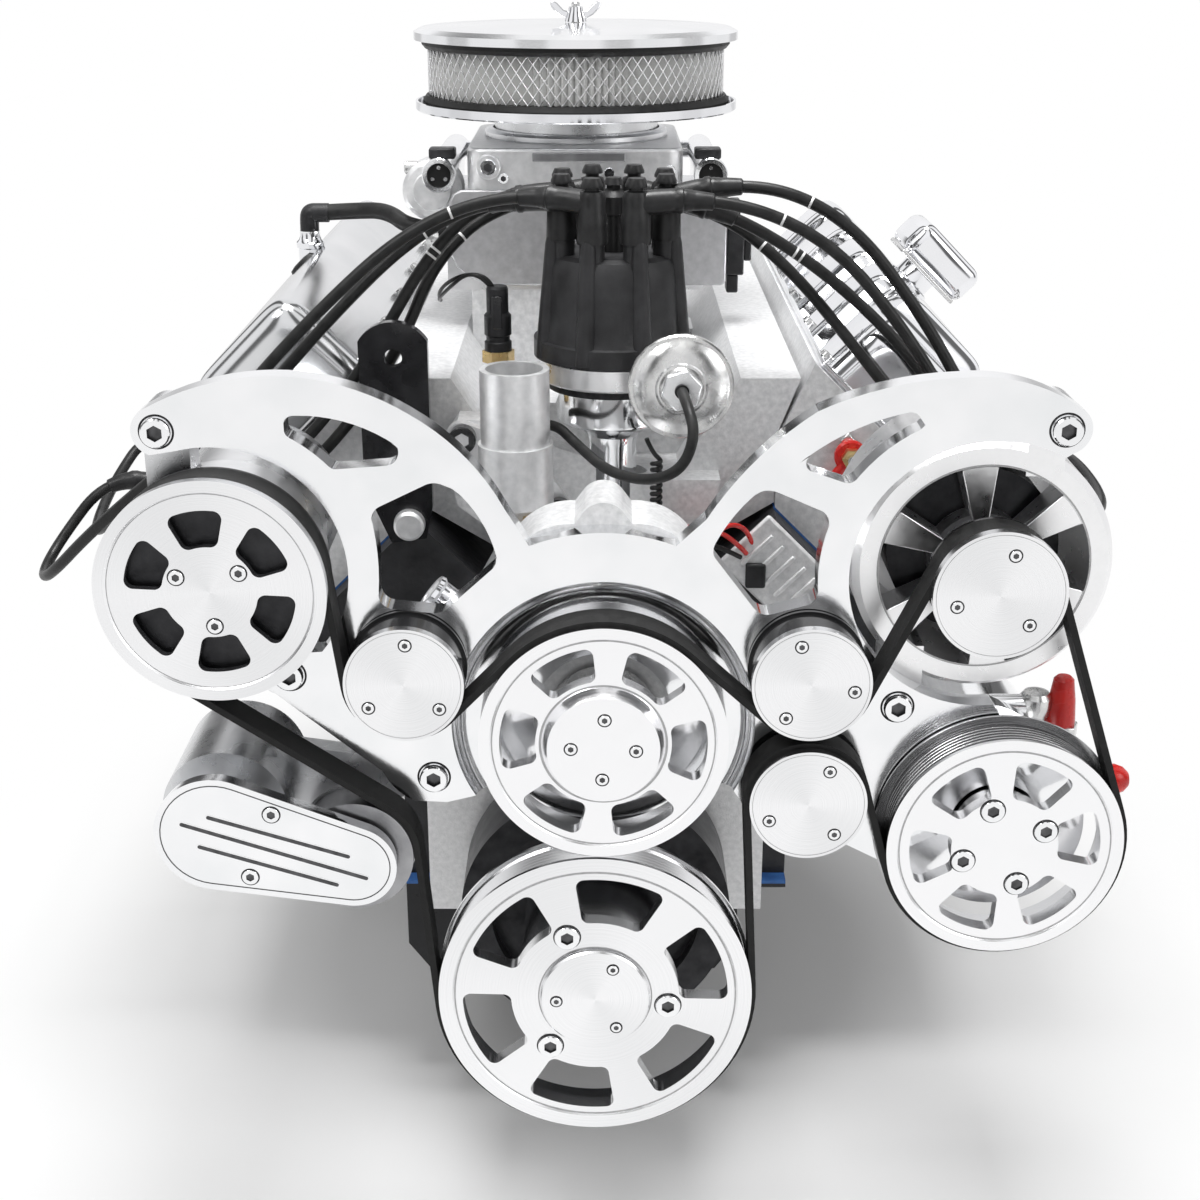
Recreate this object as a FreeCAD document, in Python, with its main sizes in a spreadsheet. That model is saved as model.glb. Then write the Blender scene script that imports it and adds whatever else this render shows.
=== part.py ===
import FreeCAD, Part
import math
import os
import Sketcher

# Complete V8 engine with its front accessory drive, millimetres.
# Origin: crankshaft axis on the rear face of the block. X to the viewer's right when the
# front of the engine is seen, Z up, and the front of the engine looks along -Y.
# "Forward" below is the distance ahead of the rear face, so Y is minus forward.

os.makedirs("parts", exist_ok=True)
doc = FreeCAD.newDocument("engine")
sheet = doc.addObject("Spreadsheet::Sheet", "dims")

FRONT_VIEW = FreeCAD.Rotation(FreeCAD.Vector(1, 0, 0), 90)
UPRIGHT = FreeCAD.Rotation()


class Size:
    """A length known both as a number and as the sheet formula that gives it."""

    def __init__(self, number, formula):
        self.number = float(number)
        self.formula = formula

    def _with(self, sign, other, number):
        return Size(number, "(%s %s %s)" % (self.formula, sign, size(other).formula))

    def __add__(self, other):
        return self._with("+", other, self.number + size(other).number)

    def __sub__(self, other):
        return self._with("-", other, self.number - size(other).number)

    def __mul__(self, other):
        return self._with("*", other, self.number * size(other).number)

    def __truediv__(self, other):
        return self._with("/", other, self.number / size(other).number)

    def __radd__(self, other):
        return size(other) + self

    def __rsub__(self, other):
        return size(other) - self

    def __rmul__(self, other):
        return size(other) * self

    def __neg__(self):
        return Size(-self.number, "(-1 * %s)" % self.formula)


def size(value):
    """Any number as a Size."""
    return value if isinstance(value, Size) else Size(value, "(%r)" % float(value))


def number(value):
    return size(value).number


def sine(angle):
    angle = size(angle)
    return Size(math.sin(math.radians(angle.number)), "sin(%s * 1 deg)" % angle.formula)


def cosine(angle):
    angle = size(angle)
    return Size(math.cos(math.radians(angle.number)), "cos(%s * 1 deg)" % angle.formula)


def arcsine(ratio):
    ratio = size(ratio)
    return Size(math.degrees(math.asin(ratio.number)), "(asin(%s) / 1 deg)" % ratio.formula)


def root(value):
    value = size(value)
    return Size(math.sqrt(value.number), "sqrt(%s)" % value.formula)


# Driving dimensions

DIMENSIONS = {
    # Block and crankcase
    "bore_pitch": 124.5,
    "bore_radius": 55.4,
    "bank_half_angle": 45,
    "bank_stagger": 22,
    "deck_half_width": 78,
    "rear_main_forward": 38.5,
    "front_main_inset": 38.5,
    "bulkhead_thickness": 26,
    "crankcase_half_width": 140,
    "crankcase_wall": 16,
    "pan_rail_drop": 40,
    "valley_floor_height": 176,
    "valley_half_width": 62,
    "cam_height": 130,
    "cam_journal_radius": 26,
    "cam_journal_length": 22,
    "cam_bar_radius": 15,
    "cam_lift": 4,
    "lobe_width": 14,
    "lobe_spacing": 48,
    # Rotating parts inside
    "main_journal_radius": 32,
    "crank_pin_radius": 31.7,
    "crank_throw": 48.9,
    "web_thickness": 20,
    "crank_snout_radius": 20,
    "crank_flange_radius": 37.5,
    "crank_flange_bolt_circle": 28,
    "rod_length": 162,
    "piston_pin_to_crown": 44,
    "deck_clearance": 0.1,
    "piston_length": 62,
    "running_gap": 0.05,
    "face_gap": 0.4,
    # Timing drive and front cover
    "sprocket_thickness": 14,
    "chain_setback": 12,
    "crank_sprocket_radius": 25,
    "chain_thickness": 7,
    "timing_cover_depth": 52,
    "timing_cover_wall": 6,
    # Heads and covers
    "gasket_thickness": 1.5,
    "head_height": 90,
    "head_inboard": 112,
    "head_outboard": 86,
    "head_rear_forward": 28,
    "head_front_inset": 27,
    "valve_cover_height": 78,
    "valve_cover_inboard": 128,
    "valve_cover_outboard": 12,
    "cover_end_inset": 10,
    "cover_corner": 14,
    # Sump
    "pan_depth": 75,
    "pan_side": 105,
    "pan_front_lip": 12,
    "sump_depth": 165,
    "sump_length": 300,
    "pan_wall": 3,
    # Intake and air cleaner
    "carb_offset": -16,
    "carb_forward": 276,
    "intake_pad_height": 356,
    "intake_front_inset": 9,
    "coolant_neck_radius": 23,
    "coolant_neck_wall": 4,
    "coolant_neck_length": 50,
    "coolant_neck_top": 349,
    "coolant_shoulder_height": 41,
    "throttle_width": 196,
    "throttle_depth": 190,
    "throttle_height": 62,
    "throttle_neck_radius": 65,
    "air_cleaner_radius": 127,
    "air_horn_height": 65,
    "air_element_height": 53,
    "fuel_tube_radius": 11,
    "fuel_tube_spread": 103,
    # Front drive
    "water_pump_depth": 128,
    "belt_width": 21,
    "belt_thickness": 4,
    "belt_inset": 3.6,
    "belt_gap": 0.3,
    "groove_depth": 2.6,
    "groove_count": 6,
    "flange_thickness": 2.4,
    "flange_overhang": 4,
    "rim_step": 1.5,
    "rim_thickness": 9,
    "face_recess": 1,
    "pulley_plate": 11,
    "pulley_corner": 5,
    "crank_pulley_radius": 96.8,
    "crank_cap_radius": 34,
    "crank_bolt_circle": 45.5,
    "crank_window_inner": 52,
    "crank_window_outer": 82,
    "water_pulley_radius": 73.3,
    "water_window_inner": 40,
    "water_window_outer": 61,
    "water_pump_x": 5,
    "water_pump_height": 172,
    "water_cap_radius": 37,
    "compressor_cover_radius": 66,
    "compressor_pulley_radius": 61,
    "compressor_window_inner": 27,
    "compressor_window_outer": 48.5,
    "compressor_x": -217,
    "compressor_height": 268,
    "steering_pulley_radius": 70.8,
    "steering_window_inner": 32,
    "steering_window_outer": 57,
    "steering_x": 245,
    "steering_height": 104,
    "window_half_angle": 20,
    "alternator_cap_radius": 38.3,
    "alternator_pulley_radius": 33,
    "alternator_x": 229,
    "alternator_height": 266,
    "alternator_radius": 77,
    "alternator_window_outer": 62,
    "alternator_length": 105,
    "compressor_length": 140,
    "steering_pump_length": 133,
    "idler_radius": 33.2,
    "idler_flange_radius": 34.8,
    "idler_left_x": -110,
    "idler_left_height": 211,
    "idler_upper_x": 125,
    "idler_upper_height": 211,
    "idler_lower_x": 126,
    "idler_lower_height": 134,
    "tensioner_x": -224,
    "tensioner_height": 118,
    "tensioner_body_radius": 38,
    "tensioner_case_depth": 59,
    "tensioner_pulley_x": -144,
    "tensioner_pulley_height": 97,
    "tensioner_pulley_radius": 35,
    "damper_radius": 90,
    "damper_thickness": 55,
    "damper_gap": 18,
    # Front bracket
    "bracket_setback": 29,
    "bracket_thickness": 16,
    "cove_radius": 91,
    "cove_depth": 10,
    "bolt_head_radius": 7.5,
    "bolt_head_height": 8,
    # Distributor
    "distributor_x": 12,
    "distributor_inset": 30,
    "distributor_cap_radius": 54,
    "distributor_band_height": 310,
    "distributor_band_depth": 36,
    "distributor_cap_depth": 72,
    "tower_circle": 37,
    "tower_radius": 9.5,
    "tower_rise": 26,
    "wire_radius": 4,
    "boot_height": 15,
    "plug_offset": 26,
    "plug_lean": 14.036,
    "plug_length": 24,
    "boot_length": 34,
}

D = {}
for row, (alias, value) in enumerate(DIMENSIONS.items(), start=1):
    sheet.set("A%d" % row, alias.replace("_", " "))
    sheet.set("B%d" % row, str(value))
    sheet.setAlias("B%d" % row, alias)
    D[alias] = Size(value, "dims.%s" % alias)
doc.recompute()


# Tools for drawing

def bind(obj, path, value):
    """Ties one property of an object to its formula in the sheet."""
    obj.setExpression(path, size(value).formula)


def place(obj, x=0, forward=0, height=0, turn=FRONT_VIEW):
    """Puts an object at a point given as right, forward and up."""
    obj.Placement = FreeCAD.Placement(FreeCAD.Vector(number(x), -number(forward), number(height)), turn)
    bind(obj, "Placement.Base.x", x)
    bind(obj, "Placement.Base.y", -size(forward))
    bind(obj, "Placement.Base.z", height)
    return obj


def origin_plane(body, role):
    return [item for item in body.Origin.OriginFeatures if item.Role == role][0]


def vector(point):
    return FreeCAD.Vector(number(point[0]), number(point[1]), 0)


def pinned(geometry, end, point):
    """Rules that fix one point of an edge by its two distances from the sketch's origin."""
    return [(Sketcher.Constraint(kind, -1, 1, geometry, end, number(value)), size(value).formula)
            for kind, value in zip(("DistanceX", "DistanceY"), point)]


def add_rules(sketch, rules):
    indices = sketch.addConstraint([rule for rule, formula in rules])
    for index, (rule, formula) in zip(indices, rules):
        if formula is not None:
            sketch.setExpression("Constraints[%d]" % index, formula)


def draw_outline(sketch, points):
    """Draws a closed outline. A point is (x, y), or (x, y, via) where an arc runs on through via."""
    count = len(points)
    edges = []
    ends = []
    for index, point in enumerate(points):
        start, end = vector(point), vector(points[(index + 1) % count])
        if len(point) == 2:
            edges.append(Part.LineSegment(start, end))
            ends.append((1, 2))
            continue
        via = vector(point[2])
        anticlockwise = (via - start).cross(end - via).z > 0
        edges.append(Part.Arc(start, via, end) if anticlockwise else Part.Arc(end, via, start))
        ends.append((1, 2) if anticlockwise else (2, 1))
    first = sketch.GeometryCount
    sketch.addGeometry(edges, False)
    rules = []
    for index, point in enumerate(points):
        following = (index + 1) % count
        rules.append((Sketcher.Constraint("Coincident", first + index, ends[index][1],
                                          first + following, ends[following][0]), None))
        rules += pinned(first + index, ends[index][0], point[:2])
        if len(point) == 3:
            mark = sketch.addGeometry(Part.Point(vector(point[2])), True)
            rules += pinned(mark, 1, point[2])
            rules.append((Sketcher.Constraint("PointOnObject", mark, 1, first + index), None))
    add_rules(sketch, rules)


def draw_circle(sketch, x, y, radius):
    edge = sketch.addGeometry(Part.Circle(vector((x, y)), FreeCAD.Vector(0, 0, 1), number(radius)), False)
    rules = pinned(edge, 3, (x, y))
    rules.append((Sketcher.Constraint("Radius", edge, number(radius)), size(radius).formula))
    add_rules(sketch, rules)


def new_sketch(body, name, role="XY_Plane", level=0):
    """A sketch on one of the body's own planes, lifted along its normal by level."""
    sketch = body.newObject("Sketcher::SketchObject", name)
    sketch.AttachmentSupport = (origin_plane(body, role), [""])
    sketch.MapMode = "FlatFace"
    if number(level) != 0:
        sketch.AttachmentOffset = FreeCAD.Placement(FreeCAD.Vector(0, 0, number(level)), FreeCAD.Rotation())
        bind(sketch, "AttachmentOffset.Base.z", level)
    return sketch


def new_body(name):
    return doc.addObject("PartDesign::Body", name)


def pad(body, name, shapes, length, level=0):
    """Pads outlines (lists of points) and circles (x, y, radius tuples) towards +Z of the body."""
    sketch = new_sketch(body, name + "_outline", level=level)
    for shape in shapes:
        if isinstance(shape, tuple):
            draw_circle(sketch, *shape)
        else:
            draw_outline(sketch, shape)
    feature = body.newObject("PartDesign::Pad", name)
    feature.Profile = sketch
    bind(feature, "Length", length)
    return feature


def pocket(body, name, shapes, length=None, level=0):
    """Cuts right through, or from level towards -Z of the body by length."""
    sketch = new_sketch(body, name + "_outline", level=level)
    for shape in shapes:
        if isinstance(shape, tuple):
            draw_circle(sketch, *shape)
        else:
            draw_outline(sketch, shape)
    feature = body.newObject("PartDesign::Pocket", name)
    feature.Profile = sketch
    if length is None:
        feature.Type = "ThroughAll"
        feature.SideType = "Symmetric"
    else:
        bind(feature, "Length", length)
    return feature


def repeat_round(body, name, feature, count):
    """Repeats a feature round the body's own Z axis."""
    pattern = body.newObject("PartDesign::PolarPattern", name)
    pattern.Originals = [feature]
    pattern.Axis = (origin_axis(body), [""])
    pattern.Angle = 360
    pattern.Occurrences = count
    body.Tip = pattern
    return pattern


def origin_axis(body):
    return [item for item in body.Origin.OriginFeatures if item.Role == "Z_Axis"][0]


def turned(name, profile, x=0, height=0, forward=0, turn=FRONT_VIEW):
    """A body turned about its own Z axis from a profile of (radius, distance along the axis)."""
    body = new_body(name)
    sketch = new_sketch(body, name + "_profile", "XZ_Plane")
    draw_outline(sketch, profile)
    feature = body.newObject("PartDesign::Revolution", name + "_turning")
    feature.Profile = sketch
    feature.ReferenceAxis = (sketch, ["V_Axis"])
    feature.Angle = 360
    return place(body, x, forward, height, turn)


def cylinder(name, radius, length, x=0, forward=0, height=0, turn=FRONT_VIEW):
    """A plain round bar that starts at a point and runs along its own Z axis."""
    bar = doc.addObject("Part::Cylinder", name)
    bind(bar, "Radius", radius)
    bind(bar, "Height", length)
    return place(bar, x, forward, height, turn)


def box(name, length, width, depth, x=0, forward=0, height=0, turn=UPRIGHT):
    block = doc.addObject("Part::Box", name)
    bind(block, "Length", length)
    bind(block, "Width", width)
    bind(block, "Height", depth)
    return place(block, x, forward, height, turn)


def hexagon(name, radius, length, x, forward, height, turn=FRONT_VIEW, sides=6):
    """A straight bar with flat sides, such as a bolt head, running along its own Z axis."""
    bar = doc.addObject("Part::Prism", name)
    bar.Polygon = sides
    bind(bar, "Circumradius", radius)
    bind(bar, "Height", length)
    return place(bar, x, forward, height, turn)


def cut(name, base, tool):
    result = doc.addObject("Part::Cut", name)
    result.Base = base
    result.Tool = tool
    return result


def fuse(name, shapes):
    result = doc.addObject("Part::MultiFuse", name)
    result.Shapes = shapes
    return result


def group(name, shapes):
    result = doc.addObject("Part::Compound", name)
    result.Links = shapes
    return result


nodes = []


def node(obj):
    """Marks an object as a finished piece, which is written under its Label."""
    nodes.append(obj)
    return obj


def polar(radius, angle, x=0, y=0):
    return (x + radius * cosine(angle), y + radius * sine(angle))


# Lengths worked out from the driving ones

bank_sine = sine(D["bank_half_angle"])
bank_cosine = cosine(D["bank_half_angle"])
main_bearings = [D["rear_main_forward"] + step * D["bore_pitch"] for step in range(5)]
front_face = main_bearings[4] + D["front_main_inset"]
head_length = front_face - D["head_front_inset"] - D["head_rear_forward"]
cover_length = head_length - 2 * D["cover_end_inset"]
intake_front = front_face - D["intake_front_inset"]
distributor_forward = front_face - D["distributor_inset"]
throws = [main + D["bore_pitch"] / 2 for main in main_bearings[:4]]
THROW_ANGLES = [180, 270, 90, 0]
GROOVES = int(number(D["groove_count"]))
deck_height = D["crank_throw"] + D["rod_length"] + D["piston_pin_to_crown"] + D["deck_clearance"]
head_base = deck_height + D["gasket_thickness"]
head_top = head_base + D["head_height"]
rail_height = -D["pan_rail_drop"]
cover_front = front_face + D["timing_cover_depth"]
bracket_rear = cover_front + D["water_pump_depth"]
bracket_front = bracket_rear + D["bracket_thickness"]
pulley_face = bracket_front + D["bracket_setback"]
belt_front = pulley_face - D["belt_inset"]
belt_rear = belt_front - D["belt_width"]
wheel_rear = belt_rear - 0.8
flange_rear = wheel_rear - D["flange_thickness"]
plate_rear = pulley_face - D["pulley_plate"]
cap_front = pulley_face + 3
cover_top = head_top + D["valve_cover_height"]
damper_front = cover_front + D["damper_gap"] + D["damper_thickness"]
air_base = D["intake_pad_height"] + D["throttle_height"] + D["air_horn_height"]
air_lid = air_base + D["air_element_height"]
cap_base = D["distributor_band_height"] + D["distributor_band_depth"]
cap_top = cap_base + D["distributor_cap_depth"]
tower_top = cap_top + D["tower_rise"]


def bank(side, along, across):
    """A point of one bank: along from the crank axis up the bores, across towards the valley."""
    x = side * (along * bank_sine - across * bank_cosine)
    return (x, along * bank_cosine + across * bank_sine)


def bank_turn(side):
    return FreeCAD.Rotation(FreeCAD.Vector(0, 1, 0), side * number(D["bank_half_angle"]))


# Cylinder block

def make_block():
    body = new_body("block_casting")
    half = D["crankcase_half_width"]
    deck = deck_height
    width = D["deck_half_width"]
    outline = [(half, rail_height), (half, 24), bank(1, deck, -width), bank(1, deck, width),
               (D["valley_half_width"], D["valley_floor_height"])]
    outline += [(-x, y) for x, y in reversed(outline)]
    pad(body, "v_casting", [outline], front_face)
    inner = half - D["crankcase_wall"]
    crankcase = [(inner, rail_height - 1), (inner, 40), (66, 99), (-66, 99), (-inner, 40), (-inner,
                                                                                            rail_height - 1)]
    for step in range(4):
        bay_front = main_bearings[step + 1] - D["bulkhead_thickness"] / 2
        bay_rear = main_bearings[step] + D["bulkhead_thickness"] / 2
        pocket(body, "crank_bay_%d" % (step + 1), [list(crankcase)], bay_front - bay_rear, bay_front)
    pocket(body, "main_bores", [(size(0), size(0), D["main_journal_radius"] + D["running_gap"])])
    pocket(body, "rear_seal_recess", [(size(0), size(0), D["crank_flange_radius"] + 1)], 12, 12)
    pocket(body, "bellhousing_bolt_holes",
           [(size(x), size(y), size(5.5)) for x in (-110, 110) for y in (0, 110)], 20, 20)
    pocket(body, "cam_tunnel", [(size(0), D["cam_height"], D["cam_journal_radius"] + D["running_gap"])])
    place(body)
    bores = []
    for side, stagger in ((-1, -0.5), (1, 0.5)):
        for step, throw in enumerate(throws):
            start = 92
            bore = cylinder("bore_%s_%d" % ("right" if side > 0 else "left", step + 1), D["bore_radius"],
                            deck_height - start + 2)
            x, z = bank(side, start, 0)
            place(bore, x, throw + stagger * D["bank_stagger"], z, bank_turn(side))
            bores.append(bore)
    stem_hole = cylinder("distributor_hole", 17.3, 60, D["distributor_x"], distributor_forward, 140, UPRIGHT)
    return node(cut("engine_block", body, fuse("block_bores", bores + [stem_hole])))


def make_pan():
    """Sump: a shallow front part and a deep rear part, open at the top, narrower on the right."""
    body = new_body("oil_pan")
    half = D["crankcase_half_width"]
    top = rail_height - 2.5
    wall = D["pan_wall"]
    shallow = rail_height - D["pan_depth"]
    deep = rail_height - D["sump_depth"]

    length = front_face + D["pan_front_lip"]

    def section(bottom, inset, upper):
        left = half - inset
        right = D["pan_side"] - inset
        low = bottom + inset
        return [(right, upper), (right, low + 22), (right - 16, low), (-left + 16, low), (-left, low + 22),
                (-left, upper)]

    pad(body, "shallow_part", [section(shallow, 0, top)], length)
    pad(body, "deep_part", [section(deep, 0, top)], D["sump_length"])
    inside = D["pan_side"] - wall
    pad(body, "right_flange", [[(inside, top - wall), (half, top - wall), (half, top), (inside, top)]], length)
    inner_top = top + 1
    pocket(body, "shallow_hollow", [section(shallow, wall, inner_top)], length - 2 * wall, length - wall)
    pocket(body, "deep_hollow", [section(deep, wall, inner_top)], D["sump_length"] - 2 * wall,
           D["sump_length"] - wall)
    node(place(body))

    gasket = new_body("oil_pan_gasket")
    rail = D["crankcase_wall"] - 2
    outer = [(-half, 0), (half, 0), (half, -length), (-half, -length)]
    inner = [(-half + rail, -rail), (half - rail, -rail), (half - rail, rail - length), (-half + rail,
                                                                                         rail - length)]
    pad(gasket, "gasket_sheet", [outer, inner], 2.5)
    node(place(gasket, 0, 0, rail_height - 2.5, UPRIGHT))


def make_crankshaft():
    body = new_body("crankshaft")
    journal = D["main_journal_radius"]
    pin_length = D["bore_pitch"] - D["bulkhead_thickness"] - 2 * D["web_thickness"] - 12
    flange = D["crank_flange_radius"]
    pad(body, "rear_flange", [(size(0), size(0), flange)], 23, -12)
    pad(body, "rear_main", [(size(0), size(0), journal)],
        throws[0] - pin_length / 2 - D["web_thickness"] - 11, 11)
    for step, throw in enumerate(throws):
        pin = polar(D["crank_throw"], THROW_ANGLES[step] + 90)
        lean = THROW_ANGLES[step]

        def spin(x, y):
            return (x * cosine(lean) - y * sine(lean), x * sine(lean) + y * cosine(lean))

        crown = D["crank_throw"] + 34
        web = [spin(24, crown), spin(-24, crown), spin(-40, 40), spin(-62, -34), spin(-42, -70), spin(42,
                                                                                                      -70),
               spin(62, -34), spin(40, 40)]
        rear_web = throw - pin_length / 2 - D["web_thickness"]
        pad(body, "web_rear_%d" % (step + 1), [list(web)], D["web_thickness"], rear_web)
        pad(body, "crank_pin_%d" % (step + 1), [(pin[0], pin[1], D["crank_pin_radius"])],
            pin_length, throw - pin_length / 2)
        pad(body, "web_front_%d" % (step + 1), [list(web)], D["web_thickness"], throw + pin_length / 2)
        journal_start = throw + pin_length / 2 + D["web_thickness"]
        if step < 3:
            journal_end = throws[step + 1] - pin_length / 2 - D["web_thickness"]
        else:
            journal_end = front_face - 1
        pad(body, "main_%d" % (step + 2), [(size(0), size(0), journal)], journal_end - journal_start,
            journal_start)
    pad(body, "snout", [(size(0), size(0), D["crank_snout_radius"])],
        damper_front - front_face + 1, front_face - 1)
    holes = []
    for step in range(6):
        spot = polar(D["crank_flange_bolt_circle"], 60 * step)
        holes.append((spot[0], spot[1], size(5)))
    pocket(body, "flange_bolt_holes", holes, 14, 2)
    return node(place(body))


def make_camshaft():
    """Bar with five journals, turned in one piece, and a lobe at each end of every bore pair."""
    bar = D["cam_bar_radius"]
    journal = D["cam_journal_radius"]
    lobe_radius = journal - D["cam_lift"] - D["face_gap"]
    half = D["cam_journal_length"] / 2
    start = main_bearings[0] - half
    end = front_face + D["chain_setback"]
    profile = [(size(0), start)]
    for main in main_bearings:
        profile += [(journal, main - half), (journal, main + half)]
        if main is not main_bearings[-1]:
            profile += [(bar, main + half), (bar, main + D["bore_pitch"] - half)]
    profile += [(bar, main_bearings[-1] + half), (bar, end), (size(0), end)]
    shaft = turned("cam_bar", profile, 0, D["cam_height"])
    lobes = []
    for step, throw in enumerate(throws):
        for turn in range(2):
            lobe = polar(D["cam_lift"], 90 * step + 100 * turn, 0, D["cam_height"])
            forward = throw - D["lobe_spacing"] / 2 + turn * D["lobe_spacing"] - D["lobe_width"] / 2
            lobes.append(hexagon("lobe_%d_%d" % (step + 1, turn + 1), lobe_radius, D["lobe_width"], lobe[0],
                                 forward, lobe[1], FRONT_VIEW, 8))
    return [shaft] + lobes


def make_pistons():
    pistons = []
    for side, stagger in ((-1, -0.5), (1, 0.5)):
        for step, throw in enumerate(throws):
            swing = number(THROW_ANGLES[step]) + side * number(D["bank_half_angle"])
            reach = D["crank_throw"] * cosine(swing)
            offset = D["crank_throw"] * sine(swing)
            pin = reach + root(D["rod_length"] * D["rod_length"] - offset * offset)
            base = pin + D["piston_pin_to_crown"] - D["piston_length"]
            name = "piston_%s_%d" % ("right" if side > 0 else "left", step + 1)
            piston = cylinder(name, D["bore_radius"] - 0.05, D["piston_length"])
            x, z = bank(side, base, 0)
            place(piston, x, throw + stagger * D["bank_stagger"], z, bank_turn(side))
            pistons.append(piston)
    node(group("pistons", pistons))


def make_timing_drive():
    """Crank sprocket, cam sprocket twice its size, and the chain round both."""
    thick = D["sprocket_thickness"]
    start = front_face + D["chain_setback"]
    small = D["crank_sprocket_radius"]
    large = 2 * small
    bore = D["crank_snout_radius"] + D["running_gap"]
    node(turned("crank_sprocket", [(bore, start), (small, start), (small, start + thick), (bore,
                                                                                           start + thick)]))
    wheel = cylinder("cam_sprocket", large, thick, 0, start, D["cam_height"])
    node(fuse("camshaft", make_camshaft() + [wheel]))
    inner = D["face_gap"]
    outer = D["face_gap"] + D["chain_thickness"]
    lean = arcsine((large - small) / D["cam_height"])

    def loop(gap):
        low, high = small + gap, large + gap
        right_low, right_high = polar(low, -lean), polar(high, -lean, 0, D["cam_height"])
        left_low, left_high = (-right_low[0], right_low[1]), (-right_high[0], right_high[1])
        return [right_low, right_high + ((size(0), D["cam_height"] + high),), left_high,
                left_low + ((size(0), -low),)]

    chain = new_body("timing_chain")
    pad(chain, "chain_band", [loop(outer), loop(inner)], thick, start)
    node(place(chain))


def make_timing_cover():
    body = new_body("timing_cover")
    wall = D["timing_cover_wall"]

    def outline(inset, low):
        side = D["crankcase_half_width"] - 22 - inset
        return [(side, low), (side, 90), (98 - inset, 165), (64 - inset, 226 - inset), (-64 + inset,
                                                                                        226 - inset),
                (-98 + inset, 165), (-side, 90), (-side, low)]

    pad(body, "cover_shell", [outline(size(0), rail_height)], D["timing_cover_depth"], front_face)
    pocket(body, "chain_room", [outline(wall, rail_height + wall)], D["timing_cover_depth"] - wall,
           cover_front - wall)
    pocket(body, "seal_bore", [(size(0), size(0), size(30) + 0.4)])
    node(place(body))


# Front drive wheels

def window_outline(inner, outer, centre_angle):
    """One rounded opening of a spoked wheel, between two radii and two radial lines."""
    corner = D["pulley_corner"]
    half = D["window_half_angle"]
    far = outer - corner
    near = inner + corner
    far_angle = half - arcsine(corner / far)
    near_angle = half - arcsine(corner / near)
    far_side = root(far * far - corner * corner)
    near_side = root(near * near - corner * corner)

    def corner_via(reach, angle, side, outward):
        """The middle of a corner arc: off its centre by the corner radius, half way round."""
        centre = polar(reach, centre_angle + side * angle)
        turn = (angle + half + (90 if outward else 270)) / 2
        offset = polar(corner, centre_angle + side * turn)
        return (centre[0] + offset[0], centre[1] + offset[1])

    return [
        polar(outer, centre_angle - far_angle) + (polar(outer, centre_angle),),
        polar(outer, centre_angle + far_angle) + (corner_via(far, far_angle, 1, True),),
        polar(far_side, centre_angle + half),
        polar(near_side, centre_angle + half) + (corner_via(near, near_angle, 1, False),),
        polar(inner, centre_angle + near_angle) + (polar(inner, centre_angle),),
        polar(inner, centre_angle - near_angle) + (corner_via(near, near_angle, -1, False),),
        polar(near_side, centre_angle - half),
        polar(far_side, centre_angle - half) + (corner_via(far, far_angle, -1, True),),
    ]


def ribbed_edge(radius, overhang, grooves):
    """The rim of a pulley from its rear flange to its face, with a V groove for each rib where asked."""
    tip = radius - D["rim_step"]
    edge = [(radius + overhang, flange_rear), (radius + overhang, wheel_rear), (tip, wheel_rear)]
    step = D["belt_width"] / max(grooves, 1)
    for groove in range(grooves):
        start = belt_rear + groove * step
        edge.append((tip - D["groove_depth"], start + step / 2))
        edge.append((tip, start + step))
    front = pulley_face
    edge += [(tip, front - D["flange_thickness"]), (radius, front - D["flange_thickness"]), (radius, front)]
    return edge


def spoked_pulley(name, radius, hub, hub_rear, window, x, height, window_angle, overhang, grooves=0,
                  cap=None):
    """A billet pulley: ribbed rim, sunk face plate with six openings, and a hub behind it."""
    face = pulley_face
    lip = radius * 0.91
    rim_inside = radius - D["rim_thickness"]
    profile = [(size(0), hub_rear), (hub, hub_rear), (hub, plate_rear), (rim_inside, plate_rear),
               (rim_inside, flange_rear)]
    profile += ribbed_edge(radius, overhang, grooves)
    profile += [(lip, face), (lip - 1, face - 1)]
    if cap is None:
        profile += [(size(0), face - 1)]
    else:
        profile += [(cap, face - 1), (cap - 4, face + 7), (size(0), face + 7)]
    body = turned(name, profile, x, height)
    opening = pocket(body, name + "_window", [window_outline(window[0], window[1], window_angle)],
                     D["pulley_plate"] + 6, face + 2)
    repeat_round(body, name + "_windows", opening, 6)
    return node(body)


def plain_roller(name, radius, flange, x, height, bore):
    """A smooth back-side roller with two low flanges and a flat cover disc in front."""
    face = pulley_face
    profile = [(bore, flange_rear), (flange, flange_rear), (flange, wheel_rear), (radius, wheel_rear),
               (radius, belt_front + 0.8), (flange, belt_front + 0.8), (flange, cap_front),
               (size(0), cap_front), (size(0), face - 6), (bore, face - 6)]
    return node(turned(name, profile, x, height))


WHEELS = {}


def note_wheel(name, x, height, radius, inside):
    WHEELS[name] = (x, height, radius, inside)


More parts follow.
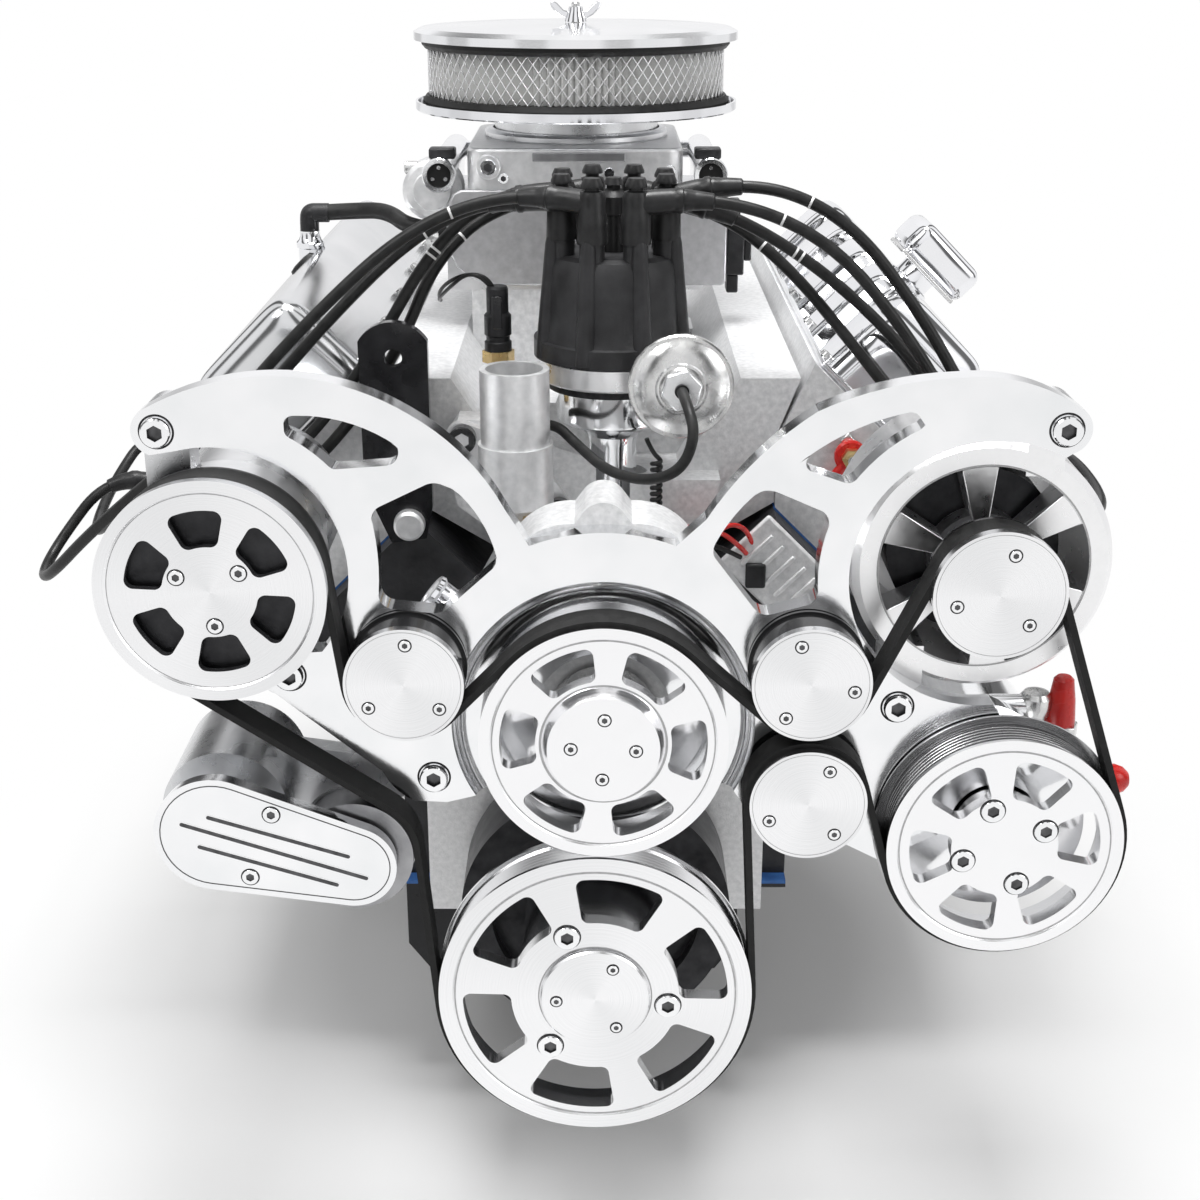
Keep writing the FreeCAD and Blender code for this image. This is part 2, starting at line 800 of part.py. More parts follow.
def make_wheels():
    crank = D["crank_pulley_radius"]
    spoked_pulley("crank_pulley", crank, size(47), damper_front,
                  (D["crank_window_inner"], D["crank_window_outer"]), size(0), size(0), 18.6, 0.8, GROOVES)
    note_wheel("crank", size(0), size(0), crank - D["rim_step"], True)

    water = D["water_pulley_radius"]
    spoked_pulley("water_pump_pulley", water, size(33), wheel_rear - 4,
                  (D["water_window_inner"], D["water_window_outer"]),
                  D["water_pump_x"], D["water_pump_height"], 56, 0.2, cap=D["water_cap_radius"])
    note_wheel("water", D["water_pump_x"], D["water_pump_height"], water - D["rim_step"], True)

    steering = D["steering_pulley_radius"]
    spoked_pulley("power_steering_pulley", steering, size(27), bracket_rear + 10,
                  (D["steering_window_inner"], D["steering_window_outer"]),
                  D["steering_x"], D["steering_height"], 67, D["flange_overhang"])
    note_wheel("steering", D["steering_x"], D["steering_height"], steering - D["rim_step"], True)

    for name in ("left", "upper", "lower"):
        x, height = D["idler_%s_x" % name], D["idler_%s_height" % name]
        plain_roller("idler_" + name, D["idler_radius"], D["idler_flange_radius"], x, height, size(8.05))
        note_wheel("idler_" + name, x, height, D["idler_radius"], False)
    x, height = D["tensioner_pulley_x"], D["tensioner_pulley_height"]
    radius = D["tensioner_pulley_radius"]
    node(turned("tensioner_pulley", [
        (size(8.05), flange_rear), (radius + 1.5, flange_rear), (radius + 1.5, wheel_rear), (radius,
                                                                                             wheel_rear),
        (radius, belt_front + 0.6), (size(8.05), belt_front + 0.6)], x, height))
    note_wheel("tensioner", x, height, radius, False)

    x, height = D["compressor_x"], D["compressor_height"]
    radius = D["compressor_pulley_radius"]
    node(turned("compressor_pulley", [
        (size(20.3), flange_rear), (radius + 4, flange_rear), (radius + 4, wheel_rear), (radius, wheel_rear),
        (radius, belt_front + 0.4), (radius - 6, belt_front + 0.4), (radius - 6, belt_front - 4),
        (size(0), belt_front - 4), (size(0), wheel_rear + 4), (size(20.3), wheel_rear + 4)], x, height))
    note_wheel("compressor", x, height, radius, True)
    cover = D["compressor_cover_radius"]
    back = belt_front + 0.4
    body = turned("compressor_pulley_cover", [
        (size(0), belt_front - 4), (size(24), belt_front - 4), (size(24), back), (cover, back),
        (cover, cap_front), (cover * 0.9, cap_front), (cover * 0.9 - 1, cap_front - 1),
        (size(0), cap_front - 1)], x, height)
    opening = pocket(body, "cover_window",
                     [window_outline(D["compressor_window_inner"], D["compressor_window_outer"], 37)],
                     10, cap_front + 1)
    repeat_round(body, "cover_windows", opening, 6)
    node(body)

    x, height = D["alternator_x"], D["alternator_height"]
    radius = D["alternator_pulley_radius"]
    cap = D["alternator_cap_radius"]
    node(turned("alternator_pulley", [
        (size(0), bracket_rear), (size(8.5), bracket_rear), (size(8.5), flange_rear), (radius + 4,
                                                                                       flange_rear),
        (radius + 4, wheel_rear), (radius, wheel_rear), (radius, back), (cap, back), (cap, cap_front),
        (size(0), cap_front)], x, height))
    note_wheel("alternator", x, height, radius, True)


BELT_ORDER = ["crank", "idler_lower", "steering", "alternator", "idler_upper", "water", "idler_left",
              "compressor", "tensioner"]


def belt_path():
    """Tangent points of the belt's middle line round each wheel, running anticlockwise."""
    wheels = []
    for name in BELT_ORDER:
        x, height, radius, inside = WHEELS[name]
        reach = number(radius) + number(D["belt_gap"]) + number(D["belt_thickness"]) / 2
        wheels.append((FreeCAD.Vector(number(x), number(height), 0), reach, 1 if inside else -1))
    arrive, leave = {}, {}
    for index, (centre, reach, side) in enumerate(wheels):
        other_index = (index + 1) % len(wheels)
        other, other_reach, other_side = wheels[other_index]
        across = other_side * other_reach - side * reach
        step = other - centre
        angle = math.atan2(step.y, step.x) - math.asin(across / step.Length)
        normal = FreeCAD.Vector(-math.sin(angle), math.cos(angle), 0)
        leave[index] = (centre - normal * (side * reach), normal)
        arrive[other_index] = (other - normal * (other_side * other_reach), normal)
    return wheels, arrive, leave


def belt_loop(offset):
    """The belt's path moved to its left by offset, as one closed wire."""
    wheels, arrive, leave = belt_path()
    edges = []
    for index, (centre, reach, side) in enumerate(wheels):
        start, start_normal = arrive[index]
        end, end_normal = leave[index]
        start = start + start_normal * offset
        end = end + end_normal * offset
        first = math.atan2(start.y - centre.y, start.x - centre.x)
        last = math.atan2(end.y - centre.y, end.x - centre.x)
        while side * (last - first) < 0:
            last += side * 2 * math.pi
        middle = (first + last) / 2
        radius = reach - side * offset
        via = centre + FreeCAD.Vector(math.cos(middle), math.sin(middle), 0) * radius
        edges.append(Part.Arc(start, via, end).toShape())
        next_start, next_normal = arrive[(index + 1) % len(wheels)]
        edges.append(Part.LineSegment(end, next_start + next_normal * offset).toShape())
    return Part.Wire(edges)


def make_belt():
    half = number(D["belt_thickness"]) / 2
    face = Part.makeFace([belt_loop(-half), belt_loop(half)], "Part::FaceMakerBullseye")
    belt = doc.addObject("Part::Feature", "serpentine_belt")
    belt.Shape = face.extrude(FreeCAD.Vector(0, 0, number(D["belt_width"])))
    node(place(belt, 0, belt_rear, 0))


def make_damper():
    thick = D["damper_thickness"]
    front = damper_front
    radius = D["damper_radius"]
    snout = D["crank_snout_radius"]
    start = front - thick
    node(turned("harmonic_damper", [
        (snout, front_face + 27), (size(30), front_face + 27), (size(30), start + 14), (radius - 24,
                                                                                        start + 14),
        (radius - 24, start), (radius, start), (radius, front), (radius - 20, front),
        (radius - 20, front - 10), (size(46), front - 10), (size(46), front), (snout, front)]))


def make_crank_cap():
    face = pulley_face - 1
    cap = cylinder("crank_cap_disc", D["crank_cap_radius"], 4, 0, face, 0)
    screws = []
    for step in range(3):
        spot = polar(D["crank_bolt_circle"], 112 + 120 * step)
        screws.append(hexagon("crank_pulley_bolt_%d" % (step + 1), size(6.5), size(4), spot[0], face,
                              spot[1]))
    node(group("crank_pulley_cap", [cap] + screws))


# Front bracket

def make_bracket():
    body = new_body("bracket_plate")
    alternator = (D["alternator_x"], D["alternator_height"])
    compressor = (D["compressor_x"] - 2, D["compressor_height"])
    steering = (D["steering_x"], D["steering_height"])
    ring = D["alternator_radius"] + 4.5
    nest = D["compressor_cover_radius"] + 10

    def about(centre, radius, angle):
        return polar(radius, angle, centre[0], centre[1])

    ear = 14.5
    left_ear = (D["compressor_x"] - 30, D["compressor_height"] + 85)
    right_ear = (D["alternator_x"] + 37, D["alternator_height"] + 88)
    outline = [
        about(left_ear, ear, 250) + (about(left_ear, ear, 180),),
        about(left_ear, ear, 115) + ((-222, 379),),
        (-181, 385) + ((-141, 379.5),),
        (-104, 363) + ((-76, 341),),
        (-52, 308),
        (-38, 285) + ((5, 293),),
        (47, 285),
        (64, 301) + ((92, 337),),
        (125.5, 365) + ((164, 378.5),),
        (204, 384) + ((240, 381.5),),
        about(right_ear, ear, 60) + (about(right_ear, ear, -10),),
        about(right_ear, ear, -70),
        about(alternator, ring, 62) + (about(alternator, ring, 168),),
        about(alternator, ring, -84),
        about(steering, 54, 78) + (about(steering, 54, -20),),
        about(steering, 54, 235),
        (150, 93) + ((127, 86),),
        (104, 96),
        (84, 128),
        (73, 128) + ((5, 104),),
        (-66, 126),
        (-90, 120),
        (-110, 121) + ((-120, 128),),
        (-128, 140),
        (-190, 192) + ((-199, 205),),
        (-190, 217),
        about(compressor, nest, -40) + (about(compressor, nest, 30),),
        about(compressor, nest, 104),
    ]
    pad(body, "plate", [outline], D["bracket_thickness"], bracket_rear)
    web = 18
    left_inner = nest + web
    pocket(body, "left_upper_window", [[
        (-175, 362) + ((-143, 359.5),), (-112, 345), (-107, 334), about(compressor, left_inner, 42) +
        (about(compressor, left_inner, 53),), about(compressor, left_inner, 62)]])
    pocket(body, "left_lower_window", [[
        (-129, 306), (-92, 324), (-80, 319) + ((-64, 298),), (-56, 274), (-90, 243),
        (-127, 247) + (about(compressor, left_inner, 4),)]])
    right_inner = ring + web
    pocket(body, "right_upper_window", [[
        (114, 333) + ((146, 354),), (180, 365), (186, 357), about(alternator, right_inner, 117) +
        (about(alternator, right_inner, 130),), about(alternator, right_inner, 146)]])
    pocket(body, "right_lower_window", [[
        (67, 281) + ((79, 302),), (95, 319), (103, 318), about(alternator, right_inner, 158) +
        (about(alternator, right_inner, 175),), about(alternator, right_inner, 189), (97, 241)]])
    pocket(body, "steering_shaft_hole", [(steering[0], steering[1], size(28.5))])
    pocket(body, "water_pump_hole", [(D["water_pump_x"], D["water_pump_height"], size(42))])
    place(body)
    depth = D["cove_depth"]
    edge = D["cove_radius"]
    half_way = depth * math.sqrt(0.5)
    cove = turned("cove_cutter", [
        (size(0), bracket_front - depth),
        (edge - depth, bracket_front - depth) + ((edge - depth + half_way, bracket_front - half_way),),
        (edge, bracket_front), (edge, bracket_front + 5), (size(0), bracket_front + 5)],
        D["water_pump_x"], D["water_pump_height"])
    node(cut("front_bracket", body, cove))

    head = D["bolt_head_height"]
    spots = [left_ear, right_ear, (size(-97.5), size(137)),
             (D["alternator_x"] - 48.5, D["alternator_height"] - 82.5),
             (D["compressor_x"] + 36, D["compressor_height"] - 64)]
    bolts = []
    for index, spot in enumerate(spots):
        bolts.append(hexagon("bracket_bolt_%d" % (index + 1), D["bolt_head_radius"], head * 0.6,
                             spot[0], bracket_front, spot[1]))
    node(group("bracket_bolts", bolts))
    axles = []
    for name in ("left", "upper", "lower"):
        x, height = D["idler_%s_x" % name], D["idler_%s_height" % name]
        pin = cylinder("axle_" + name, 8, pulley_face - 7 - bracket_front, x, bracket_front, height)
        washer = cylinder("axle_washer_" + name, 13, flange_rear - 0.3 - bracket_front, x, bracket_front,
                          height)
        axles += [fuse("idler_axle_" + name, [pin, washer])]
    node(group("idler_axles", axles))


# Water pump and thermostat housing

def make_water_pump():
    body = new_body("pump_casting")
    x, height = D["water_pump_x"], D["water_pump_height"]
    depth = 46
    pad(body, "front_flange", [[
        (-62, 124), (-70, 200), (-52, 268) + ((-34, 288),), (-12, 293), (-6, 301) + ((x, 306),), (16, 301),
        (22, 293) + ((44, 288),), (62, 268), (80, 200), (72, 128) + ((x, 106),)]], depth,
        bracket_rear - depth)
    pad(body, "scroll", [[(-56, 96), (-60, 180), (-30, 212) + ((x, 222),), (40, 212), (70, 180), (66, 96)]],
        bracket_rear - depth - cover_front, cover_front)
    pocket(body, "shaft_bore", [(x, height, size(9.05))])
    pocket(body, "impeller_room", [(x, height, size(42))], 30, cover_front + 30)
    place(body)
    nipple = cylinder("hose_nipple", 10, 56, -56, bracket_rear - 24, 206,
                      FreeCAD.Rotation(FreeCAD.Vector(0, 1, 0), -50))
    node(fuse("water_pump_housing", [body, nipple]))
    node(turned("water_pump_shaft", [
        (size(0), cover_front + 4), (size(39), cover_front + 4), (size(39), cover_front + 8),
        (size(16), cover_front + 22), (size(9), cover_front + 22), (size(9), bracket_rear + 4),
        (size(33), bracket_rear + 4), (size(33), wheel_rear - 4), (size(0), wheel_rear - 4)], x, height))


def make_thermostat_housing():
    x = -53
    front = intake_front
    neck_forward = front + 36
    flange = new_body("thermostat_flange")
    pad(flange, "ears", [[(-98, 284) + ((-102, 296),), (-90, 305), (-52, 292) + ((-32, 270),), (-17, 246) +
                                                                                ((-20, 234),),
                          (-32, 236), (-60, 252) + ((-78, 268),)]], 9, front)
    place(flange)
    radius, shoulder = D["coolant_neck_radius"], D["coolant_neck_top"] - D["coolant_neck_length"]
    foot = shoulder - D["coolant_shoulder_height"]
    neck = cylinder("neck", radius, D["coolant_neck_length"], x, neck_forward, shoulder, UPRIGHT)
    barrel = cylinder("neck_shoulder", radius + 2, D["coolant_shoulder_height"], x, neck_forward, foot,
                      UPRIGHT)
    elbow = cylinder("elbow", 19, 36, x - 4, front, foot + 14)
    solid = fuse("thermostat_casting", [flange, neck, barrel, elbow])
    bore = cylinder("neck_bore", radius - D["coolant_neck_wall"], D["coolant_neck_top"] - foot, x,
                    neck_forward,
                    foot + 12, UPRIGHT)
    casting = cut("thermostat_neck", solid, bore)
    bolts = [hexagon("outlet_bolt_left", size(7), size(7), -90, front + 9, 295),
             hexagon("outlet_bolt_right", size(7), size(7), -25, front + 9, 245)]
    node(fuse("thermostat_housing", [casting] + bolts))


# Cylinder heads, gaskets and covers

def make_bank(side):
    hand = "right" if side > 0 else "left"
    rear = D["head_rear_forward"]
    length = head_length
    deck = deck_height
    inboard, outboard = D["head_inboard"], D["head_outboard"]
    width = D["deck_half_width"]

    gasket = new_body("head_gasket_" + hand)
    pad(gasket, "sheet", [[bank(side, deck, -width), bank(side, deck, width), bank(side, head_base, width),
                           bank(side, head_base, -width)]], length, rear)
    place(gasket)

    head = new_body("head_casting_" + hand)
    section = [bank(side, head_base, -width), bank(side, head_base, width), bank(side, head_base + 34,
                                                                                 inboard),
               bank(side, head_top, inboard + 22), bank(side, head_top, 8), bank(side, head_top - 14, -30),
               bank(side, head_base + 62, -outboard), bank(side, head_base + 16, -outboard)]
    pad(head, "casting", [section], length, rear)
    place(head)
    ports = []
    for step, throw in enumerate(throws):
        port = cylinder("exhaust_port_%s_%d" % (hand, step + 1), 17, 30)
        x, z = bank(side, head_base + 39, -outboard - 2)
        turn = FreeCAD.Rotation(FreeCAD.Vector(0, 1, 0), side * (number(D["bank_half_angle"]) - 90))
        ports.append(place(port, x, throw + side * D["bank_stagger"] / 2, z, turn))
    node(cut("cylinder_head_" + hand, head, fuse("exhaust_ports_" + hand, ports)))

    low, high = D["valve_cover_outboard"], D["valve_cover_inboard"]
    top = head_top + D["valve_cover_height"]
    cover = new_body("valve_cover_" + hand)
    length = cover_length
    bend = D["cover_corner"]
    section = [bank(side, head_top, low), bank(side, head_top, high), bank(side, head_top + 8, high),
               bank(side, head_top + 8, high - 6),
               bank(side, top - 2 * bend, high - 10) + (bank(side, top - bend * 0.7,
                                                             high - 10 - bend * 0.5),),
               bank(side, top, high - 10 - 1.6 * bend),
               bank(side, top, low + 10 + 1.6 * bend) + (bank(side, top - bend * 0.7,
                                                              low + 10 + bend * 0.5),),
               bank(side, top - 2 * bend, low + 10), bank(side, head_top + 8, low + 6),
               bank(side, head_top + 8, low)]
    pad(cover, "cover_pressing", [section], length, rear + D["cover_end_inset"])
    node(place(cover))
    return gasket


def make_heads():
    node(group("head_gaskets", [make_bank(-1), make_bank(1)]))
    plugs = []
    boots = []
    for side in (-1, 1):
        hand = "right" if side > 0 else "left"
        for step in range(4):
            foot, lean = plug_axis(side, step)
            turn = FreeCAD.Rotation(FreeCAD.Vector(0, 1, 0), side * lean)
            name = "%s_%d" % (hand, step + 1)
            plugs.append(hexagon("plug_" + name, 9, D["plug_length"], foot[0], foot[1], foot[2], turn))
            tip = (foot[0] + side * D["plug_length"] * sine(lean), foot[2] + D["plug_length"] * cosine(lean))
            boots.append(hexagon("boot_" + name, 10, D["boot_length"], tip[0], foot[1], tip[1], turn, 8))
    node(group("spark_plugs", plugs + boots))


# Intake, throttle body and air cleaner

def make_intake():
    body = new_body("intake_casting")
    rear = D["head_rear_forward"]
    front = intake_front
    side_low = bank(1, head_base + 2, D["deck_half_width"] + 1)
    side_mid = bank(1, head_base + 34, D["head_inboard"] + 0.4)
    side_top = bank(1, head_top - 14, D["head_inboard"] + 19)
    outline = [(side_low[0] - 1, side_low[1]), (side_mid[0] - 1, side_mid[1]), (side_top[0] - 1, side_top[1]),
               (100, side_top[1]), (58, 262), (-58, 262), (-100, side_top[1]), (1 - side_top[0], side_top[1]),
               (1 - side_mid[0], side_mid[1]), (1 - side_low[0], side_low[1]), (-56, 196), (56, 196)]
    pad(body, "valley_casting", [outline], front - rear - 24, rear)
    pad(body, "front_end", [[(-96, 244), (-104, 290), (-94, 305), (-52, 303), (-34, 288), (40, 262), (86,
                                                                                                      262),
                             (82, 238), (40, 200), (-40, 200)]], 24, front - 24)
    place(body)
    carb = D["carb_offset"]
    middle = D["carb_forward"]
    pad_height = D["intake_pad_height"]
    plenum = box("plenum", 160, 190, pad_height - 250, carb - 80, middle + 95, 250)
    pieces = [body, plenum]
    for step, throw in enumerate(throws):
        pieces.append(box("runner_%d" % (step + 1), 250, 46, 44, -125, throw + 23, 255))
    casting = fuse("intake_fused", pieces)
    hole = cylinder("distributor_opening", 24, 130, D["distributor_x"], distributor_forward, 190, UPRIGHT)
    node(cut("intake_manifold", casting, hole))


def make_throttle():
    carb = D["carb_offset"]
    middle = D["carb_forward"]
    low = D["intake_pad_height"]
    width, depth, height = D["throttle_width"], D["throttle_depth"], D["throttle_height"]
    neck = D["throttle_neck_radius"]
    block = box("throttle_block", width, depth, height, carb - width / 2, middle + depth / 2, low)
    air_top = air_base
    horn = cylinder("air_horn", neck, air_top - low - height, carb, middle, low + height, UPRIGHT)
    bores = []
    for x_side in (-1, 1):
        for y_side in (-1, 1):
            bores.append(cylinder("throttle_bore_%d_%d" % (x_side + 1, y_side + 1), 22, 200,
                                  carb + 26 * x_side, middle + 26 * y_side, low - 20, UPRIGHT))
    shaft_holes = [cylinder("shaft_hole_front", 5.05, width + 20, carb - width / 2 - 10, middle + 26,
                            low + 30,
                            FreeCAD.Rotation(FreeCAD.Vector(0, 1, 0), 90))]
    body = fuse("throttle_solid", [block, horn])
    node(cut("throttle_body", body, fuse("throttle_cuts", bores + shaft_holes)))
    tubes = []
    for side in (-1, 1):
        x = carb + side * D["fuel_tube_spread"]
        tubes.append(cylinder("tube_%d" % (side + 1), D["fuel_tube_radius"], depth - 10, x,
                              middle - depth / 2 + 5,
                              low + height + 24))
        tubes.append(box("tube_saddle_%d" % (side + 1), 16, depth - 60, 18, x - 8, middle + depth / 2 - 30,
                         low + height + 0.2))
    rail = fuse("fuel_tubes", [tubes[0], tubes[2], cylinder_link(carb, middle, low + height)] + tubes[1::2])
    node(rail)
    shaft = cylinder("throttle_rod", 5, width + 24, carb - width / 2 - 22, middle + 26, low + 30,
                     FreeCAD.Rotation(FreeCAD.Vector(0, 1, 0), 90))
    lever = new_body("lever_plate")
    pad(lever, "lever_outline", [[(-8, -8) + ((-11, 0),), (-8, 8), (-4, 44) + ((0, 48),), (4, 44), (8, 8) +
                                  ((11, 0),), (8, -8) + ((0, -11),)]], 4)
    place(lever, carb - width / 2 - 18, middle + 26, low + 30,
          FreeCAD.Rotation(FreeCAD.Vector(0, 1, 0), -90))
    blades = []
    for x_side in (-1, 1):
        blades.append(cylinder("blade_%d" % (x_side + 1), 21.6, 2, carb + 26 * x_side, middle + 26, low + 29,
                               UPRIGHT))
    node(fuse("throttle_shaft", [shaft, lever] + blades))


def cylinder_link(carb, middle, height):
    """The cross tube that joins the two fuel tubes behind the air horn."""
    spread = D["fuel_tube_spread"]
    return cylinder("fuel_cross_tube", 7, 2 * spread, carb - spread, middle - 78, height + 24,
                    FreeCAD.Rotation(FreeCAD.Vector(0, 1, 0), 90))


def make_air_cleaner():
    carb = D["carb_offset"]
    middle = D["carb_forward"]
    radius = D["air_cleaner_radius"]
    base, lid = air_base, air_lid
    neck = D["throttle_neck_radius"]
    node(turned("air_cleaner_base", [
        (neck - 8, base), (radius - 1, base), (radius, base + 1), (radius, base + 7), (radius - 2, base + 7),
        (radius - 2, base + 3), (neck - 8, base + 3)], carb, 0, middle, UPRIGHT))
    node(turned("air_filter_element", [
        (radius - 24, base + 3), (radius - 6, base + 3), (radius - 6, base + 10), (radius - 10, base + 12),
        (radius - 10, lid - 8), (radius - 6, lid - 6), (radius - 6, lid + 1), (radius - 24, lid + 1)],
        carb, 0, middle, UPRIGHT))
    node(turned("air_cleaner_lid", [
        (size(4), lid + 1), (radius - 2, lid + 1), (radius - 2, lid), (radius, lid), (radius, lid + 6),
        (radius - 6, lid + 9), (radius * 0.6, lid + 11), (size(12), lid + 12), (size(4), lid + 12)],
        carb, 0, middle, UPRIGHT))
    top = lid + 12
    foot = hexagon("stud_foot", 9, 6, carb, middle, base, UPRIGHT)
    rod = cylinder("stud_rod", 3.2, top - base + 28, carb, middle, base, UPRIGHT)
    node(fuse("air_cleaner_stud", [foot, rod]))
    hub = turned("nut_hub", [(size(3.25), top + 0.4), (size(9), top + 0.4), (size(6), top + 12),
                             (size(3.25), top + 12)], carb, 0, middle, UPRIGHT)
    wings = new_body("nut_wings")
    pad(wings, "wings_outline", [[(4, 1), (8, 2), (20, 16) + ((22, 24),), (15, 21), (5, 11)],
                                 [(-4, 1), (-8, 2), (-20, 16) + ((-22, 24),), (-15, 21), (-5, 11)]], 3, -1.5)
    place(wings, carb, middle, top + 0.4)
    node(fuse("air_cleaner_wing_nut", [hub, wings]))


# Distributor

def make_distributor():
    x, forward = D["distributor_x"], distributor_forward
    radius = D["distributor_cap_radius"]
    band, low, top = D["distributor_band_height"], cap_base, cap_top
    node(turned("distributor_housing", [
        (size(6.05), 162), (size(17), 162), (size(17), 230), (size(22), 236), (size(22), band - 9),
        (radius - 4, band), (radius - 4, low), (size(44), low), (size(44), band + 6), (size(6.05), band + 6)],
        x, 0, forward, UPRIGHT))
    shell = turned("cap_shell", [
        (size(0), top - 6), (size(45), top - 12), (radius - 8, low), (radius, low), (radius, low + 12),
        (radius - 8, top), (size(0), top)], x, 0, forward, UPRIGHT)
    towers = [hexagon("coil_tower", D["tower_radius"], tower_top - top + 16, x, forward, top - 4, UPRIGHT, 8)]
    for step in range(8):
        spot = polar(D["tower_circle"], 22.5 + 45 * step, x, forward)
        towers.append(hexagon("tower_%d" % (step + 1), D["tower_radius"], tower_top - top + 4,
                              spot[0], spot[1], top - 4, UPRIGHT, 8))
    node(fuse("distributor_cap", [shell] + towers))
    shaft = cylinder("rotor_shaft", 6, low - 159, x, forward, 159, UPRIGHT)
    rotor = box("rotor_arm", 62, 16, 12, x - 24, forward + 8, low, UPRIGHT)
    node(fuse("distributor_shaft", [shaft, rotor]))


def make_vacuum_advance():
    height = cap_base - 3
    rear = distributor_forward + 73
    can = turned("vacuum_can", [
        (size(0), rear), (size(22), rear), (size(34), rear + 8), (size(34), rear + 16),
        (size(18), rear + 22), (size(0), rear + 22)], D["distributor_x"] + 43, height)
    arm = box("vacuum_arm", 12, 29.7, 6, D["distributor_x"] + 22, rear + 2, height - 8)
    node(fuse("vacuum_advance", [can, arm]))


# Cords

def cord_path(points):
    """Straight runs joined by tangent arcs, each arc as large as its two runs allow."""
    spots = [FreeCAD.Vector(x, -forward, height) for x, forward, height in points]
    edges = []
    start = spots[0]
    for before, corner, after in zip(spots, spots[1:], spots[2:]):
        incoming = (corner - before).normalize()
        outgoing = (after - corner).normalize()
        half_turn = incoming.getAngle(outgoing) / 2
        reach = 0.45 * min(corner.distanceToPoint(before), corner.distanceToPoint(after))
        radius = reach / math.tan(half_turn)
        arc_start = corner - incoming * reach
        arc_end = corner + outgoing * reach
        inward = (outgoing - incoming).normalize()
        middle = corner + inward * (radius / math.cos(half_turn) - radius)
        edges.append(Part.LineSegment(start, arc_start).toShape())
        edges.append(Part.Arc(arc_start, middle, arc_end).toShape())
        start = arc_end
    edges.append(Part.LineSegment(start, spots[-1]).toShape())
    return Part.Wire(edges)


def cord(points, radius, sides):
    """A tube along a route, whose section is a polygon as large as the round one."""
    path = cord_path(points)
    along = FreeCAD.Vector(*points[1]) - FreeCAD.Vector(*points[0])
    along.y = -along.y
    turn = FreeCAD.Rotation(FreeCAD.Vector(0, 0, 1), along)
    start = path.Edges[0].Vertexes[0].Point
    reach = radius * math.sqrt(2 * math.pi / (sides * math.sin(2 * math.pi / sides)))
    corners = []
    for step in range(sides + 1):
        angle = 2 * math.pi * step / sides
        corners.append(start + turn.multVec(FreeCAD.Vector(math.cos(angle), math.sin(angle), 0) * reach))
    section = Part.Wire(Part.makePolygon(corners).Edges)
    return path.makePipeShell([section], True, False)


# One plug wire a row: its tower's angle on the cap, then the points between its boots
WIRE_ROUTES = {
    ("left", 1): (247.5, [(-60, 514, 446), (-108, 536, 410), (-132, 556, 352), (-180, 560, 284), (-250,
                                                                                                  560, 226),
                          (-322, 540, 186), (-346, 440, 180), (-350, 320, 184), (-352, 200, 190), (-358,
                                                                                                   100,
                                                                                                   236)]),
    ("left", 2): (202.5, [(-72, 533, 450), (-112, 548, 414), (-150, 562, 350), (-196, 566, 290), (-262,
                                                                                                  566, 236),
                          (-330, 540, 206), (-350, 440, 200), (-352, 330, 204), (-360, 226, 238)]),
    ("left", 3): (157.5, [(-62, 547, 452), (-118, 553, 430), (-182, 566, 370), (-246, 572, 298), (-330,
                                                                                                  556, 240),
                          (-372, 500, 196), (-382, 400, 206), (-362, 338, 238)]),
    ("left", 4): (112.5, [(-46, 559, 458), (-118, 567, 438), (-190, 580, 376), (-258, 586, 302), (-344,
                                                                                                  566, 232),
                          (-404, 530, 170), (-412, 470, 176), (-364, 446, 236)]),
    ("right", 1): (292.5, [(80, 516, 440), (130, 530, 404), (176, 554, 352), (222, 566, 296), (296, 558, 222),
                           (346, 490, 188), (350, 370, 186), (352, 240, 190), (360, 130, 236)]),
    ("right", 2): (337.5, [(84, 538, 442), (140, 543, 412), (196, 552, 366), (236, 562, 318), (306, 560, 246),
                           (352, 500, 214), (356, 380, 214), (362, 256, 238)]),
    ("right", 3): (67.5, [(74, 576, 458), (150, 584, 432), (206, 590, 368), (248, 598, 300), (318, 588, 240),
                          (374, 520, 226), (364, 376, 240)]),
    ("right", 4): (22.5, [(92, 560, 466), (160, 569, 446), (214, 578, 382), (254, 586, 314), (322, 572, 252),
                          (362, 500, 246)]),
}
VACUUM_HOSE = [(55, 640.3, 343), (57, 664, 342), (62, 680, 326), (54, 682, 304), (34, 668, 292), (8, 640,
                                                                                                  290),
               (-12, 604, 298), (-28.7, 580.7, 308), (-42, 566.3, 300)]
BREATHER_HOSE = [(-220.4, 300, 404), (-192, 302, 406), (-164, 322, 409), (-144, 344, 398), (-114.8, 345, 397)]


def plug_axis(side, step):
    """Foot of one plug on its head, and the lean of the plug from upright."""
    forward = throws[step] + side * D["bank_stagger"] / 2 - D["plug_offset"]
    x, height = bank(side, head_top - 22 + D["running_gap"], -62)
    return (x, forward, height), number(D["bank_half_angle"]) + number(D["plug_lean"])


